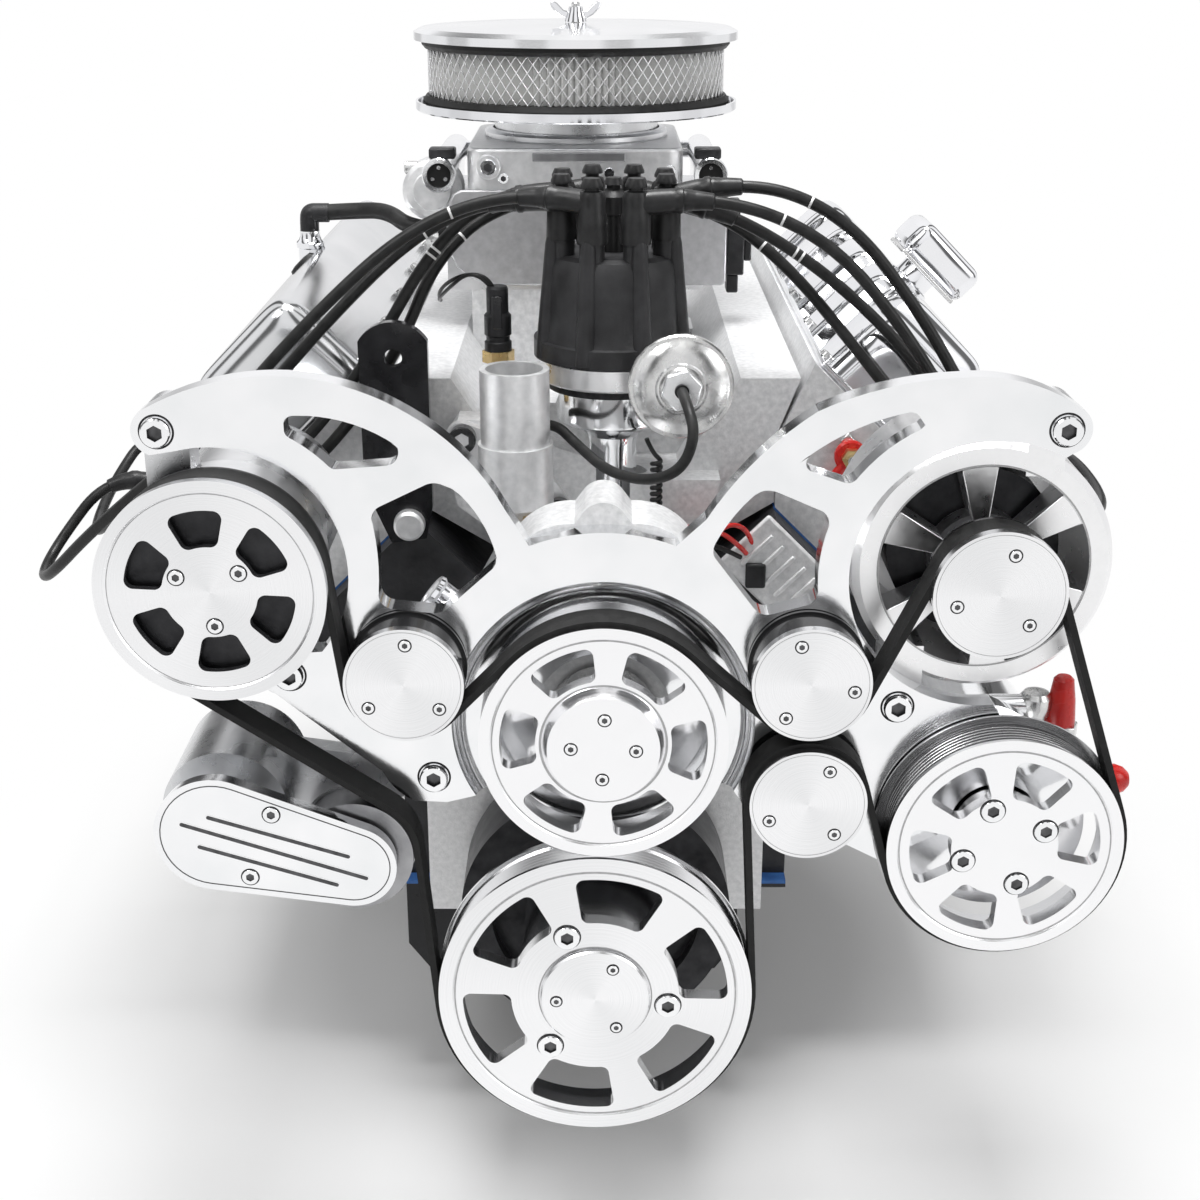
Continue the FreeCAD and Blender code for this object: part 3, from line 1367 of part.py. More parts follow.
def make_wires():
    radius = number(D["wire_radius"])
    tubes = []
    boots = []
    for (hand, step), (angle, between) in WIRE_ROUTES.items():
        side = 1 if hand == "right" else -1
        x, forward = polar(D["tower_circle"], angle, D["distributor_x"], distributor_forward)
        start = tuple(number(value) for value in (x, forward, tower_top + D["boot_height"] / 2))
        foot, lean = plug_axis(side, step - 1)
        reach = D["plug_length"] + D["boot_length"] + radius
        end = (foot[0] + side * reach * sine(lean), foot[1], foot[2] + reach * cosine(lean))
        tubes.append(cord([start] + between + [tuple(number(value) for value in end)], radius, 4))
        boots.append(hexagon("tower_boot_%s_%d" % (hand, step), D["tower_radius"] - 2, D["boot_height"], x,
                             forward,
                             tower_top + 0.2, UPRIGHT, 8))
    doc.recompute()
    plug_wires = doc.addObject("Part::Feature", "plug_wires")
    plug_wires.Shape = Part.makeCompound([tube.fuse(boot.Shape) for tube, boot in zip(tubes, boots)])
    node(plug_wires)
    hoses = doc.addObject("Part::Feature", "small_hoses")
    hoses.Shape = Part.makeCompound([cord(VACUUM_HOSE, 3.5, 6), cord(BREATHER_HOSE, 6.5, 6)])
    node(hoses)


# Small parts on top

def make_top_parts():
    plate = new_body("lifting_plate")
    x, height = bank(-1, deck_height, D["deck_half_width"])
    pad(plate, "lifting_outline", [
        [(x - 32, height + 27), (x - 32, height + 127) + ((x - 9, height + 140),), (x + 14, height + 127),
         (x + 14, height + 13), (x + 9, height - 10), (x - 15, height - 13)],
        (x - 9, height + 116, size(6))], 8, front_face + 0.2)
    place(plate)
    bolt = hexagon("lifting_bolt", size(9), size(8), x - 2, front_face + 8, height + 1)
    node(fuse("lifting_bracket", [plate, bolt]))
    stem = cylinder("sensor_stem", 7, 42, -66, 552, 304.6, UPRIGHT)
    nut = hexagon("sensor_hexagon", 11, 12, -66, 552, 345, UPRIGHT)
    body = cylinder("sensor_body", 8, 38, -66, 552, 356, UPRIGHT)
    node(fuse("temperature_sensor", [stem, nut, body]))
    seat = bank(-1, cover_top, 92)
    grommet = cylinder("pcv_grommet", 13, 14, seat[0], 300, seat[1], bank_turn(-1))
    riser = cylinder("pcv_riser", 8, 36, seat[0] - 8, 300, seat[1] + 10, UPRIGHT)
    sideways = FreeCAD.Rotation(FreeCAD.Vector(0, 1, 0), 90)
    outlet = cylinder("pcv_outlet", 7, 21, seat[0] - 8, 300, seat[1] + 39, sideways)
    node(fuse("pcv_elbow", [grommet, riser, outlet]))
    seat = bank(1, cover_top, 75)
    neck = cylinder("breather_neck", 16, 16, seat[0], 330, seat[1], bank_turn(1))
    corner = bank(1, cover_top + 14, 75 + 30)
    head = box("breather_head", 60, 60, 24, corner[0], 360, corner[1], bank_turn(1))
    node(fuse("breather_cap", [neck, head]))


# Accessories behind the bracket

def make_alternator():
    x, height = D["alternator_x"], D["alternator_height"]
    radius = D["alternator_radius"]
    front = bracket_rear - D["face_gap"]
    back = front - D["alternator_length"]
    case = turned("alternator_case", [
        (size(8.6), front - 12), (size(24), front - 12), (radius - 15, front), (radius - 4, front),
        (radius, front - 6), (radius, back + 8), (radius - 10, back), (size(0), back), (size(0), back + 12),
        (radius - 14, back + 12), (radius - 14, front - 26), (size(8.6), front - 26)], x, height)
    inner, outer, half = size(30), D["alternator_window_outer"], D["window_half_angle"]
    slot = [polar(outer, 6 - half) + (polar(outer, 6),), polar(outer, 6 + half),
            polar(inner, 6 + half) + (polar(inner, 6),), polar(inner, 6 - half)]
    opening = pocket(case, "case_window", [slot], 30, front + 2)
    repeat_round(case, "case_windows", opening, 6)
    ear = cylinder("alternator_upper_ear", 14, 30, x + 37, front - 30, height + 88)
    link = box("alternator_ear_web", 22, 30, 34, x + 20, front, height + 56)
    lower = cylinder("alternator_lower_ear", 14, 30, x - 48.5, front - 30, height - 82.5)
    web = box("alternator_lower_web", 24, 30, 34, x - 56, front, height - 84)
    node(fuse("alternator_housing", [case, ear, link, lower, web]))
    node(turned("alternator_rotor", [
        (size(0), back + 14), (size(52), back + 14), (size(52), front - 34), (size(8.5), front - 28),
        (size(8.5), bracket_rear), (size(0), bracket_rear)], x, height))


def make_compressor():
    x, height = D["compressor_x"], D["compressor_height"]
    front = bracket_rear - D["face_gap"]
    back = front - D["compressor_length"]
    case = turned("compressor_case", [
        (size(0), back), (size(44), back), (size(52), back + 8), (size(52), front - 20), (size(58),
                                                                                          front - 20),
        (size(58), front), (size(20), front), (size(20), wheel_rear + 2), (size(0), wheel_rear + 2)], x,
                  height)
    pieces = [case,
              cylinder("compressor_upper_ear", 14, 24, x - 30, front - 24, height + 85),
              box("compressor_upper_web", 26, 24, 50, x - 42, front, height + 34),
              cylinder("compressor_lower_ear", 13, 24, x + 36, front - 24, height - 64),
              box("compressor_lower_web", 22, 24, 36, x + 21, front, height - 62)]
    node(fuse("compressor_body", pieces))


def make_steering_pump():
    x, height = D["steering_x"], D["steering_height"]
    back = bracket_rear - D["steering_pump_length"]
    case = turned("steering_case", [
        (size(0), back), (size(46), back), (size(50), back + 6), (size(50), back + 78), (size(45), back + 82),
        (size(45), bracket_rear), (size(28), bracket_rear), (size(28), bracket_rear + 2),
        (size(12), bracket_rear + 2), (size(12), bracket_rear + 9.7), (size(0), bracket_rear + 9.7)], x,
                  height)
    sideways = FreeCAD.Rotation(FreeCAD.Vector(0, 1, 0), 90)
    pipes = []
    caps = []
    forward = back + 62
    for index, (near, far, rise) in enumerate(((10, 46, 42), (37, 93, -12))):
        pipes.append(cylinder("port_pipe_%d" % (index + 1), 7, far - near, x + near, forward,
                              height + rise, sideways))
        caps.append(cylinder("port_cap_%d" % (index + 1), 9.5, 20, x + far + 0.1, forward, height + rise,
                             sideways))
    node(fuse("power_steering_pump", [case] + pipes))
    node(group("port_caps", caps))


def make_tensioner():
    x, height = D["tensioner_x"], D["tensioner_height"]
    radius = D["tensioner_body_radius"]
    front = flange_rear + 5
    back = bracket_rear - D["tensioner_case_depth"]
    case = turned("tensioner_case", [
        (size(0), back), (radius - 4, back), (radius, back + 4), (radius, front), (size(0), front)], x,
                  height)
    foot = new_body("tensioner_foot")
    pad(foot, "foot_outline", [[(-190, 100), (-90, 122), (-90, 146), (-128, 142), (-196, 152)]], 14,
        bracket_rear - 14)
    place(foot)
    node(fuse("tensioner_body", [case, foot]))
    small_x, small_height = D["tensioner_pulley_x"], D["tensioner_pulley_height"]
    span = root((small_x - x) * (small_x - x) + (small_height - height) * (small_height - height))
    lean = math.degrees(math.atan2(number(small_height - height), number(small_x - x)))
    big, small = size(35.5), size(25.5)
    spread = 90 - number(arcsine((big - small) / span))

    def hull(grow):
        a, b = big + grow, small + grow
        return [polar(a, lean + spread, x, height) + (polar(a, lean + 180, x, height),),
                polar(a, lean - spread, x, height),
                polar(b, lean - spread, small_x, small_height) + (polar(b, lean, small_x, small_height),),
                polar(b, lean + spread, small_x, small_height)]

    arm_rear = pulley_face
    arm = new_body("arm_plate")
    pad(arm, "arm_outline", [hull(size(0))], 7, arm_rear)
    pad(arm, "cover_sheet", [hull(size(0.8))], 3, arm_rear + 7)
    place(arm)
    boss = cylinder("arm_boss", 20, arm_rear - front - 0.3, x, front + 0.3, height)
    pin = cylinder("arm_pin", 8, arm_rear - flange_rear + 2, small_x, flange_rear - 2, small_height)
    washer = cylinder("arm_washer", 14, arm_rear - belt_front - 0.9, small_x, belt_front + 0.9, small_height)
    node(fuse("tensioner_arm", [arm, boss, pin, washer]))


# All pieces, then the checks and the files

MAKERS = [make_block, make_pan, make_crankshaft, make_pistons, make_timing_drive,
          make_timing_cover, make_wheels, make_belt, make_damper, make_crank_cap, make_bracket,
          make_water_pump, make_thermostat_housing, make_heads, make_intake, make_throttle, make_air_cleaner,
          make_distributor, make_vacuum_advance, make_wires, make_top_parts, make_alternator, make_compressor,
          make_steering_pump, make_tensioner]

for make in MAKERS:
    make()
doc.recompute()

faults = [obj.Name for obj in doc.Objects if "Invalid" in obj.State or "Error" in obj.State]
faults += [obj.Name for obj in nodes if obj.Shape.isNull() or not obj.Shape.isValid()]
if faults:
    raise RuntimeError("failed objects: " + ", ".join(faults))
for obj in nodes:
    obj.Label = obj.Name
    obj.Shape.exportStep("parts/%s.step" % obj.Label)
print("%d pieces written" % len(nodes))
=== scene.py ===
import math
import bpy
from mathutils import Matrix, Vector


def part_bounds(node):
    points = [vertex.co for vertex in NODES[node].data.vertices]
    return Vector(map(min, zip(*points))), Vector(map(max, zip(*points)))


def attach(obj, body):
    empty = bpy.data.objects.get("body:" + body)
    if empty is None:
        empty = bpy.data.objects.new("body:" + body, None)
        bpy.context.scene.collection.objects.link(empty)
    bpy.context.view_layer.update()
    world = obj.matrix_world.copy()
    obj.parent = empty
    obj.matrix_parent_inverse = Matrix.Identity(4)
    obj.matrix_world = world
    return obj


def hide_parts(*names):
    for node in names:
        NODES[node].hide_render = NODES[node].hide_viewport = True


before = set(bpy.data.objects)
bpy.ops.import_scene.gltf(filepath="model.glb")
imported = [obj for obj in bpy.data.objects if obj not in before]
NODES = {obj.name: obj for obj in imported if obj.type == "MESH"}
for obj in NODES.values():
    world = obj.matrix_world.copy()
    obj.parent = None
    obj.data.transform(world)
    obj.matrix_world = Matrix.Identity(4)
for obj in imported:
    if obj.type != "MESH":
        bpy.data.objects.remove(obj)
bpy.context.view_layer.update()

# Lengths below are millimetres, given as x to the right, forward of the block's rear face, and up.
MM = 0.001
HANDS = {-1: "left", 1: "right"}

# The pulleys' front face and the pitch of their belt ribs, then the wheels' centres as (x, height)
FACE = 800.0
RIB_PITCH = 3.5
FIRST_RIB = FACE - 3.6
RIBS_FRONT = FACE - 3
CRANK = (0.0, 0.0)
WATER = (5.0, 172.0)
STEERING = (245.0, 104.0)
COMPRESSOR = (-217.0, 268.0)
ALTERNATOR = (229.0, 266.0)
IDLERS = {"idler_left": (-110.0, 211.0), "idler_upper": (125.0, 211.0), "idler_lower": (126.0, 134.0)}
TENSIONER = (-224.0, 118.0)
TENSIONER_WHEEL = (-144.0, 97.0)

# The upright axes of the throttle body and the distributor, as (x, forward)
CARB = (-16.0, 276.0)
DISTRIBUTOR = (12.0, 545.0)


def spot(x, forward, height):
    """A place in the frame, in metres."""
    return Vector((x, -forward, height)) * MM


def bank(side, along, across):
    """A point of one cylinder bank: along from the crank axis up the bores, across towards the valley."""
    lean = math.sqrt(0.5)
    return side * (along - across) * lean, (along + across) * lean


# Materials

# A colour under NEARLY_BLACK reflects less; then the fine rings and the colours of turned metal, with the painted
# shade of its rib valleys
NEARLY_BLACK = 0.06
RING_SCALE = 1500.0
RING_RELIEF = 0.00001
RIB_RELIEF = 0.0012
TURNED_DARK = (0.798, 0.80275, 0.81225)
TURNED_BRIGHT = (0.95, 0.95, 0.9595)
RIB_VALLEY_SHADE = (0.12, 0.12, 0.125)
BELOW_CAP = (0.016, 0.016, 0.017)


def new_material(name):
    material = bpy.data.materials.new(name)
    material.use_nodes = True
    tree = material.node_tree
    return material, tree, tree.nodes["Principled BSDF"]


def noise(tree, scale, detail=4.0):
    """A noise over the object's own coordinates."""
    coordinates = tree.nodes.new("ShaderNodeTexCoord")
    texture = tree.nodes.new("ShaderNodeTexNoise")
    texture.inputs["Scale"].default_value = scale
    texture.inputs["Detail"].default_value = detail
    tree.links.new(coordinates.outputs["Object"], texture.inputs["Vector"])
    return texture.outputs["Fac"]


def spread(tree, value, low, high, start=0.3, end=0.7):
    """Maps a pattern from the range start to end on to the range low to high."""
    ranged = tree.nodes.new("ShaderNodeMapRange")
    ranged.inputs["From Min"].default_value = start
    ranged.inputs["From Max"].default_value = end
    ranged.inputs["To Min"].default_value = low
    ranged.inputs["To Max"].default_value = high
    tree.links.new(value, ranged.inputs["Value"])
    return ranged.outputs["Result"]


def tint(tree, value, dark, light):
    """Mixes two colours by a 0 to 1 pattern; each is a tuple or another node's output."""
    mix = tree.nodes.new("ShaderNodeMix")
    mix.data_type = "RGBA"
    for socket, colour in (("A", dark), ("B", light)):
        if isinstance(colour, tuple):
            mix.inputs[socket].default_value = (*colour, 1)
        else:
            tree.links.new(colour, mix.inputs[socket])
    tree.links.new(value, mix.inputs["Factor"])
    return mix.outputs["Result"]


def vector_math(tree, operation, first, second=None, output="Vector"):
    node = tree.nodes.new("ShaderNodeVectorMath")
    node.operation = operation
    tree.links.new(first, node.inputs[0])
    if second is not None:
        node.inputs[1].default_value = second
    return node.outputs[output]


def split(tree, vector):
    """The outputs X, Y and Z of a vector."""
    node = tree.nodes.new("ShaderNodeSeparateXYZ")
    tree.links.new(vector, node.inputs["Vector"])
    return node.outputs


def scalar(tree, operation, *values):
    node = tree.nodes.new("ShaderNodeMath")
    node.operation = operation
    for index, value in enumerate(values):
        if isinstance(value, (int, float)):
            node.inputs[index].default_value = value
        else:
            tree.links.new(value, node.inputs[index])
    return node.outputs["Value"]


def bump(tree, shader, value, height):
    node = tree.nodes.new("ShaderNodeBump")
    node.inputs["Strength"].default_value = 1.0
    node.inputs["Distance"].default_value = height
    tree.links.new(value, node.inputs["Height"])
    tree.links.new(node.outputs["Normal"], shader.inputs["Normal"])


def surface(name, dark, light, metallic, rough, scale, height=0.0, relief_scale=None, coat=0.0):
    """A finish whose colour and roughness wander a little, with a fine relief where height is given."""
    material, tree, shader = new_material(name)
    shader.inputs["Metallic"].default_value = metallic
    if max(light) < NEARLY_BLACK:
        shader.inputs["Specular IOR Level"].default_value = 0.28
    shader.inputs["Coat Weight"].default_value = coat
    shader.inputs["Coat Roughness"].default_value = 0.08
    pattern = noise(tree, scale)
    tree.links.new(tint(tree, spread(tree, pattern, 0, 1), dark, light), shader.inputs["Base Color"])
    tree.links.new(spread(tree, pattern, *rough), shader.inputs["Roughness"])
    if height:
        bump(tree, shader, noise(tree, relief_scale, 6.0), height)
    return material


def turned_metal(name, centre, rough=(0.16, 0.27), rib_radius=None, cap_rear=None):
    """Bright metal brushed round a wheel's centre, with painted sheen in lighter and darker sectors round it; where
    rib_radius is given, belt ribs outside it with painted shade in their valleys instead; black behind cap_rear.
    """
    material, tree, shader = new_material(name)
    shader.inputs["Metallic"].default_value = 1.0
    shader.inputs["Anisotropic"].default_value = 0.8
    link = tree.links.new
    coordinates = tree.nodes.new("ShaderNodeTexCoord").outputs["Object"]
    offset = vector_math(tree, "SUBTRACT", coordinates, (centre[0] * MM, 0, centre[1] * MM))
    flat = vector_math(tree, "MULTIPLY", offset, (1, 0, 1))
    across = vector_math(tree, "CROSS_PRODUCT", flat, (0, 1, 0))
    link(vector_math(tree, "NORMALIZE", across), shader.inputs["Tangent"])
    distance = vector_math(tree, "LENGTH", flat, output="Value")
    texture = tree.nodes.new("ShaderNodeTexNoise")
    texture.noise_dimensions = "1D"
    texture.inputs["Scale"].default_value = RING_SCALE
    link(distance, texture.inputs["W"])
    rings = texture.outputs["Fac"]
    parts = split(tree, offset)
    # Painted sheen: the colour swings between lighter and darker sectors by the angle round the centre, in place of
    # the bow-tie highlights of brushed metal.
    round_turn = scalar(tree, "ARCTAN2", parts["Z"], parts["X"])
    painted_sheen = scalar(tree, "SINE", scalar(tree, "MULTIPLY_ADD", round_turn, 2.0, 0.5))
    rings_and_painted_sheen = scalar(tree, "ADD", spread(tree, rings, 0, 0.45), spread(tree, painted_sheen, 0, 0.55, -1.0, 0.6))
    colour = tint(tree, rings_and_painted_sheen, TURNED_DARK, TURNED_BRIGHT)
    link(spread(tree, rings, *rough), shader.inputs["Roughness"])
    depth = split(tree, coordinates)["Y"]
    if rib_radius is None:
        bump(tree, shader, rings, RING_RELIEF)
    else:
        outside = scalar(tree, "GREATER_THAN", distance, rib_radius * MM)
        turns = scalar(tree, "MULTIPLY", depth, 2 * math.pi / (RIB_PITCH * MM))
        wave = scalar(tree, "SINE", scalar(tree, "ADD", turns, 2 * math.pi * FIRST_RIB / RIB_PITCH + math.pi / 2))
        behind = scalar(tree, "GREATER_THAN", depth, -RIBS_FRONT * MM)
        level = scalar(tree, "MULTIPLY", scalar(tree, "MULTIPLY_ADD", wave, 0.5, 0.5),
                       scalar(tree, "MULTIPLY", outside, behind))
        # Painted shade: the valleys between the belt ribs are coloured dark.
        colour = tint(tree, level, TURNED_BRIGHT, RIB_VALLEY_SHADE)
        bump(tree, shader, scalar(tree, "SUBTRACT", 1.0, level), RIB_RELIEF)
    if cap_rear is not None:
        front = scalar(tree, "LESS_THAN", depth, -cap_rear * MM)
        colour = tint(tree, front, BELOW_CAP, colour)
        link(front, shader.inputs["Metallic"])
    link(colour, shader.inputs["Base Color"])
    return material


POLISHED = surface("polished_alloy", (0.86, 0.87, 0.88), (0.95, 0.95, 0.96), 1.0, (0.07, 0.16), 25, 0.00002, 500)
COVER_CHROME = surface("cover_chrome", (0.8, 0.81, 0.83), (0.93, 0.93, 0.95), 1.0, (0.05, 0.1), 12)
BRUSHED = surface("brushed_alloy", (0.68, 0.69, 0.7), (0.82, 0.82, 0.83), 1.0, (0.22, 0.36), 40, 0.00004, 350)
CAST_BRIGHT = surface("bright_casting", (0.74, 0.745, 0.75), (0.88, 0.88, 0.885), 0.7, (0.3, 0.45), 160, 0.00004,
                      500)
CAST = surface("cast_alloy", (0.64, 0.645, 0.65), (0.82, 0.82, 0.825), 0.5, (0.36, 0.5), 260, 0.0002, 900)
HOUSING = surface("alternator_alloy", (0.9, 0.9, 0.905), (0.97, 0.97, 0.975), 1.0, (0.26, 0.36), 120, 0.00001, 500)
STEEL = surface("plated_steel", (0.6, 0.6, 0.6), (0.78, 0.78, 0.77), 1.0, (0.18, 0.32), 120, 0.00003, 900)
BLOCK = surface("block_paint", (0.012, 0.012, 0.013), (0.035, 0.035, 0.038), 0.0, (0.35, 0.55), 50, 0.0006, 260)
PAN = surface("pan_paint", (0.01, 0.01, 0.011), (0.022, 0.022, 0.024), 0.0, (0.25, 0.4), 30, 0.0001, 300)
BLACK_GLOSS = surface("black_gloss", (0.008, 0.008, 0.009), (0.02, 0.02, 0.022), 0.0, (0.14, 0.26), 60, 0.00005, 400,
                      coat=0.4)
BLACK_PLASTIC = surface("black_plastic", (0.012, 0.012, 0.013), (0.03, 0.03, 0.032), 0.0, (0.3, 0.48), 90, 0.00012,
                        900)
BLACK_STEEL = surface("black_steel", (0.02, 0.02, 0.022), (0.05, 0.05, 0.053), 0.6, (0.3, 0.45), 80, 0.0001, 500)
RUBBER = surface("belt_rubber", (0.006, 0.006, 0.006), (0.02, 0.02, 0.02), 0.0, (0.55, 0.75), 150, 0.00015, 1200)
HOSE = surface("hose_rubber", (0.008, 0.008, 0.008), (0.022, 0.022, 0.022), 0.0, (0.4, 0.6), 150, 0.0001, 900)
WIRE = surface("wire_silicone", (0.008, 0.008, 0.008), (0.02, 0.02, 0.02), 0.0, (0.3, 0.45), 120, 0.00004, 900)
CAP_PLASTIC = surface("cap_plastic", (0.02, 0.02, 0.021), (0.04, 0.04, 0.042), 0.0, (0.34, 0.48), 60, 0.0001, 600)
BOOT_RUBBER = surface("boot_rubber", (0.01, 0.01, 0.01), (0.026, 0.026, 0.027), 0.0, (0.28, 0.45), 90, 0.00006, 700)
WIRE_MARK = surface("wire_mark", (0.7, 0.7, 0.7), (0.82, 0.82, 0.82), 0.0, (0.4, 0.6), 200)
RED_CAP = surface("red_plastic", (0.5, 0.008, 0.006), (0.7, 0.02, 0.012), 0.0, (0.22, 0.34), 60, 0.00003, 500)
GASKET = surface("gasket_blue", (0.02, 0.08, 0.26), (0.04, 0.15, 0.42), 0.0, (0.5, 0.7), 120, 0.0001, 800)
BRASS = surface("brass", (0.62, 0.44, 0.18), (0.8, 0.6, 0.3), 1.0, (0.2, 0.34), 90, 0.00003, 700)
PAPER = surface("filter_paper", (0.93, 0.93, 0.92), (0.98, 0.98, 0.97), 0.0, (0.7, 0.9), 140, 0.0002, 900)
GREY = surface("grey_metal", (0.3, 0.3, 0.31), (0.42, 0.42, 0.43), 1.0, (0.3, 0.42), 80, 0.00005, 600)
CAP_METAL = turned_metal("turned_crank_cap", CRANK, (0.14, 0.22))
# Painted shade: the dark of screw sockets and of the tensioner cover's inset line and grooves.
SOCKET_SHADE = surface("screw_socket_shade", (0.07, 0.07, 0.072), (0.14, 0.14, 0.145), 1.0, (0.3, 0.45), 200)
# Painted shade: grey bands standing in for the dark rims and chamfers of wheels and caps.
LIP_SHADE = surface("lip_shade", (0.36, 0.36, 0.365), (0.52, 0.52, 0.525), 0.6, (0.3, 0.45), 200)
COVER_SATIN = surface("cover_satin", (0.66, 0.67, 0.68), (0.8, 0.8, 0.81), 1.0, (0.12, 0.2), 12)
# Painted shade: near-black rings round screws and bolts, and the fill of the distributor housing's groove.
SHADE_LINE = surface("seam_shadow", (0.015, 0.015, 0.016), (0.05, 0.05, 0.052), 0.3, (0.45, 0.65), 200)
SATIN = surface("satin_grey", (0.42, 0.42, 0.43), (0.52, 0.52, 0.53), 0.75, (0.36, 0.48), 160, 0.00005, 1100)
# Painted shade: a near-black stand-in for the inside of a bore.
HOLE_SHADE = surface("bore_shade", (0.004, 0.004, 0.004), (0.01, 0.01, 0.01), 0.0, (0.6, 0.8), 80)

# The finish of each carried-over piece, but for the wheels of turned metal
FINISHES = {name: material for material, names in (
    (STEEL, "crankshaft camshaft crank_sprocket timing_chain throttle_shaft air_cleaner_stud distributor_shaft "
            "water_pump_shaft bracket_bolts idler_axles"),
    (CAST, "pistons timing_cover cylinder_head_left cylinder_head_right intake_manifold water_pump_housing"),
    (COVER_CHROME, "valve_cover_right air_cleaner_base air_cleaner_wing_nut vacuum_advance breather_cap"),
    (BRUSHED, "throttle_body compressor_body tensioner_body"),
    (POLISHED, "fuel_tubes air_cleaner_lid distributor_housing crank_pulley_cap front_bracket power_steering_pump "
               "tensioner_arm"),
    (BLACK_PLASTIC, "distributor_cap pcv_elbow spark_plugs"),
    (BLACK_STEEL, "harmonic_damper alternator_rotor compressor_pulley"),
    (BLOCK, "engine_block"), (PAN, "oil_pan"), (GASKET, "oil_pan_gasket head_gaskets"),
    (COVER_SATIN, "valve_cover_left"), (PAPER, "air_filter_element"), (BLACK_GLOSS, "lifting_bracket"),
    (BRASS, "temperature_sensor"), (CAST_BRIGHT, "thermostat_housing"), (RUBBER, "serpentine_belt"),
    (HOUSING, "alternator_housing"), (RED_CAP, "port_caps"), (GREY, "tensioner_pulley"), (WIRE, "plug_wires"),
    (HOSE, "small_hoses"),
) for name in names.split()}

# Wheels of turned metal with their centres, the inner radius of their belt ribs, and the rear of their bright caps
TURNED = {
    "crank_pulley": CRANK, "water_pump_pulley": WATER, "power_steering_pulley": STEERING,
    "compressor_pulley_cover": COMPRESSOR, "alternator_pulley": ALTERNATOR, **IDLERS,
}
RIBBED = {"power_steering_pulley": 68.0, "water_pump_pulley": 70.5}
CAPPED = {"idler_left": 797.0, "idler_upper": 797.0, "idler_lower": 797.0, "alternator_pulley": 796.6}

# Angles in degrees from which a carried-over piece has sharp edges, and from which edges are softened
NODE_SHARP = 32
NODE_SOFT = 40
PIECE_SOFT = 38

# Widths of softened edges, where they differ from the usual one
PLAIN_EDGE = 0.5
EDGES = {
    "tensioner_arm": 1.2, "front_bracket": 1.8, "intake_manifold": 4.0, "cylinder_head_left": 2.5,
    "cylinder_head_right": 2.5, "engine_block": 2.0, "oil_pan": 1.2, "lifting_bracket": 0.8, "throttle_body": 1.5,
    "thermostat_housing": 1.2, "water_pump_housing": 2.0, "breather_cap": 5.0, "tensioner_body": 1.5,
}


def finish_nodes():
    """Gives every carried-over piece its material, softened edges and clean normals."""
    for name, obj in NODES.items():
        if name in TURNED:
            material = turned_metal("turned_" + name, TURNED[name], rib_radius=RIBBED.get(name),
                                    cap_rear=CAPPED.get(name))
        else:
            material = FINISHES[name]
        obj.data.materials.clear()
        obj.data.materials.append(material)
        obj.data.shade_smooth()
        obj.data.set_sharp_from_angle(angle=math.radians(NODE_SHARP))
        soften(obj, EDGES.get(name, PLAIN_EDGE), angle=NODE_SOFT).modifiers["edges"].harden_normals = True


# Shapes

def around(centre, radius, angle):
    """The point at an angle in degrees on a circle about a centre."""
    turn = math.radians(angle)
    return centre[0] + radius * math.cos(turn), centre[1] + radius * math.sin(turn)


def wall_faces(count, level=0):
    """The faces between one closed row of vertices and the next, for rows of count vertices."""
    low = level * count
    high = low + count
    return [(low + i, low + (i + 1) % count, high + (i + 1) % count, high + i) for i in range(count)]


def mesh_piece(name, vertices, faces, material, sharp=35):
    """An object from points in metres, smooth but for edges over an angle in degrees."""
    mesh = bpy.data.meshes.new(name)
    mesh.from_pydata([tuple(v) for v in vertices], [], faces)
    mesh.validate()
    mesh.shade_smooth()
    mesh.set_sharp_from_angle(angle=math.radians(sharp))
    mesh.materials.append(material)
    obj = bpy.data.objects.new(name, mesh)
    bpy.context.scene.collection.objects.link(obj)
    return obj


def soften(obj, width, segments=2, angle=PIECE_SOFT):
    """Rounds a piece's edges by a width in millimetres."""
    edge = obj.modifiers.new("edges", "BEVEL")
    edge.width = width * MM
    edge.segments = segments
    edge.limit_method = "ANGLE"
    edge.angle_limit = math.radians(angle)
    return obj


# Turns for pieces made along a local Z axis; FRONTWARD_UP also says that the outline's y is height
FRONTWARD = Matrix.Rotation(math.radians(90), 4, "X")
UPWARD = Matrix.Identity(4)
FRONTWARD_UP = Matrix(((1, 0, 0, 0), (0, 0, -1, 0), (0, 1, 0, 0), (0, 0, 0, 1)))


def leaning(angle):
    """A turn that takes the local Z axis from upright towards the right, by an angle in degrees."""
    return Matrix.Rotation(math.radians(angle), 4, "Y")


def place_at(x, forward, height, turn=FRONTWARD):
    """Puts what is made along a local Z axis at a place, turned."""
    return Matrix.Translation(spot(x, forward, height)) @ turn


def lathe(name, profile, material, x, forward, height, turn=FRONTWARD, steps=96, sharp=30):
    """Turns (radius, distance) points about a local Z axis that starts at the given place."""
    vertices, faces, rings = [], [], []
    for radius, along in profile:
        if radius < 0.001:
            rings.append([len(vertices)])
            vertices.append(Vector((0, 0, along)) * MM)
            continue
        ring = []
        for step in range(steps):
            angle = 2 * math.pi * step / steps
            ring.append(len(vertices))
            vertices.append(Vector((radius * math.cos(angle), radius * math.sin(angle), along)) * MM)
        rings.append(ring)
    for low, high in zip(rings, rings[1:]):
        for step in range(steps):
            following = (step + 1) % steps
            if len(low) == 1 and len(high) == 1:
                break
            if len(low) == 1:
                faces.append((low[0], high[step], high[following]))
            elif len(high) == 1:
                faces.append((low[step], low[following], high[0]))
            else:
                faces.append((low[step], low[following], high[following], high[step]))
    place = place_at(x, forward, height, turn)
    return mesh_piece(name, [place @ v for v in vertices], faces, material, sharp)


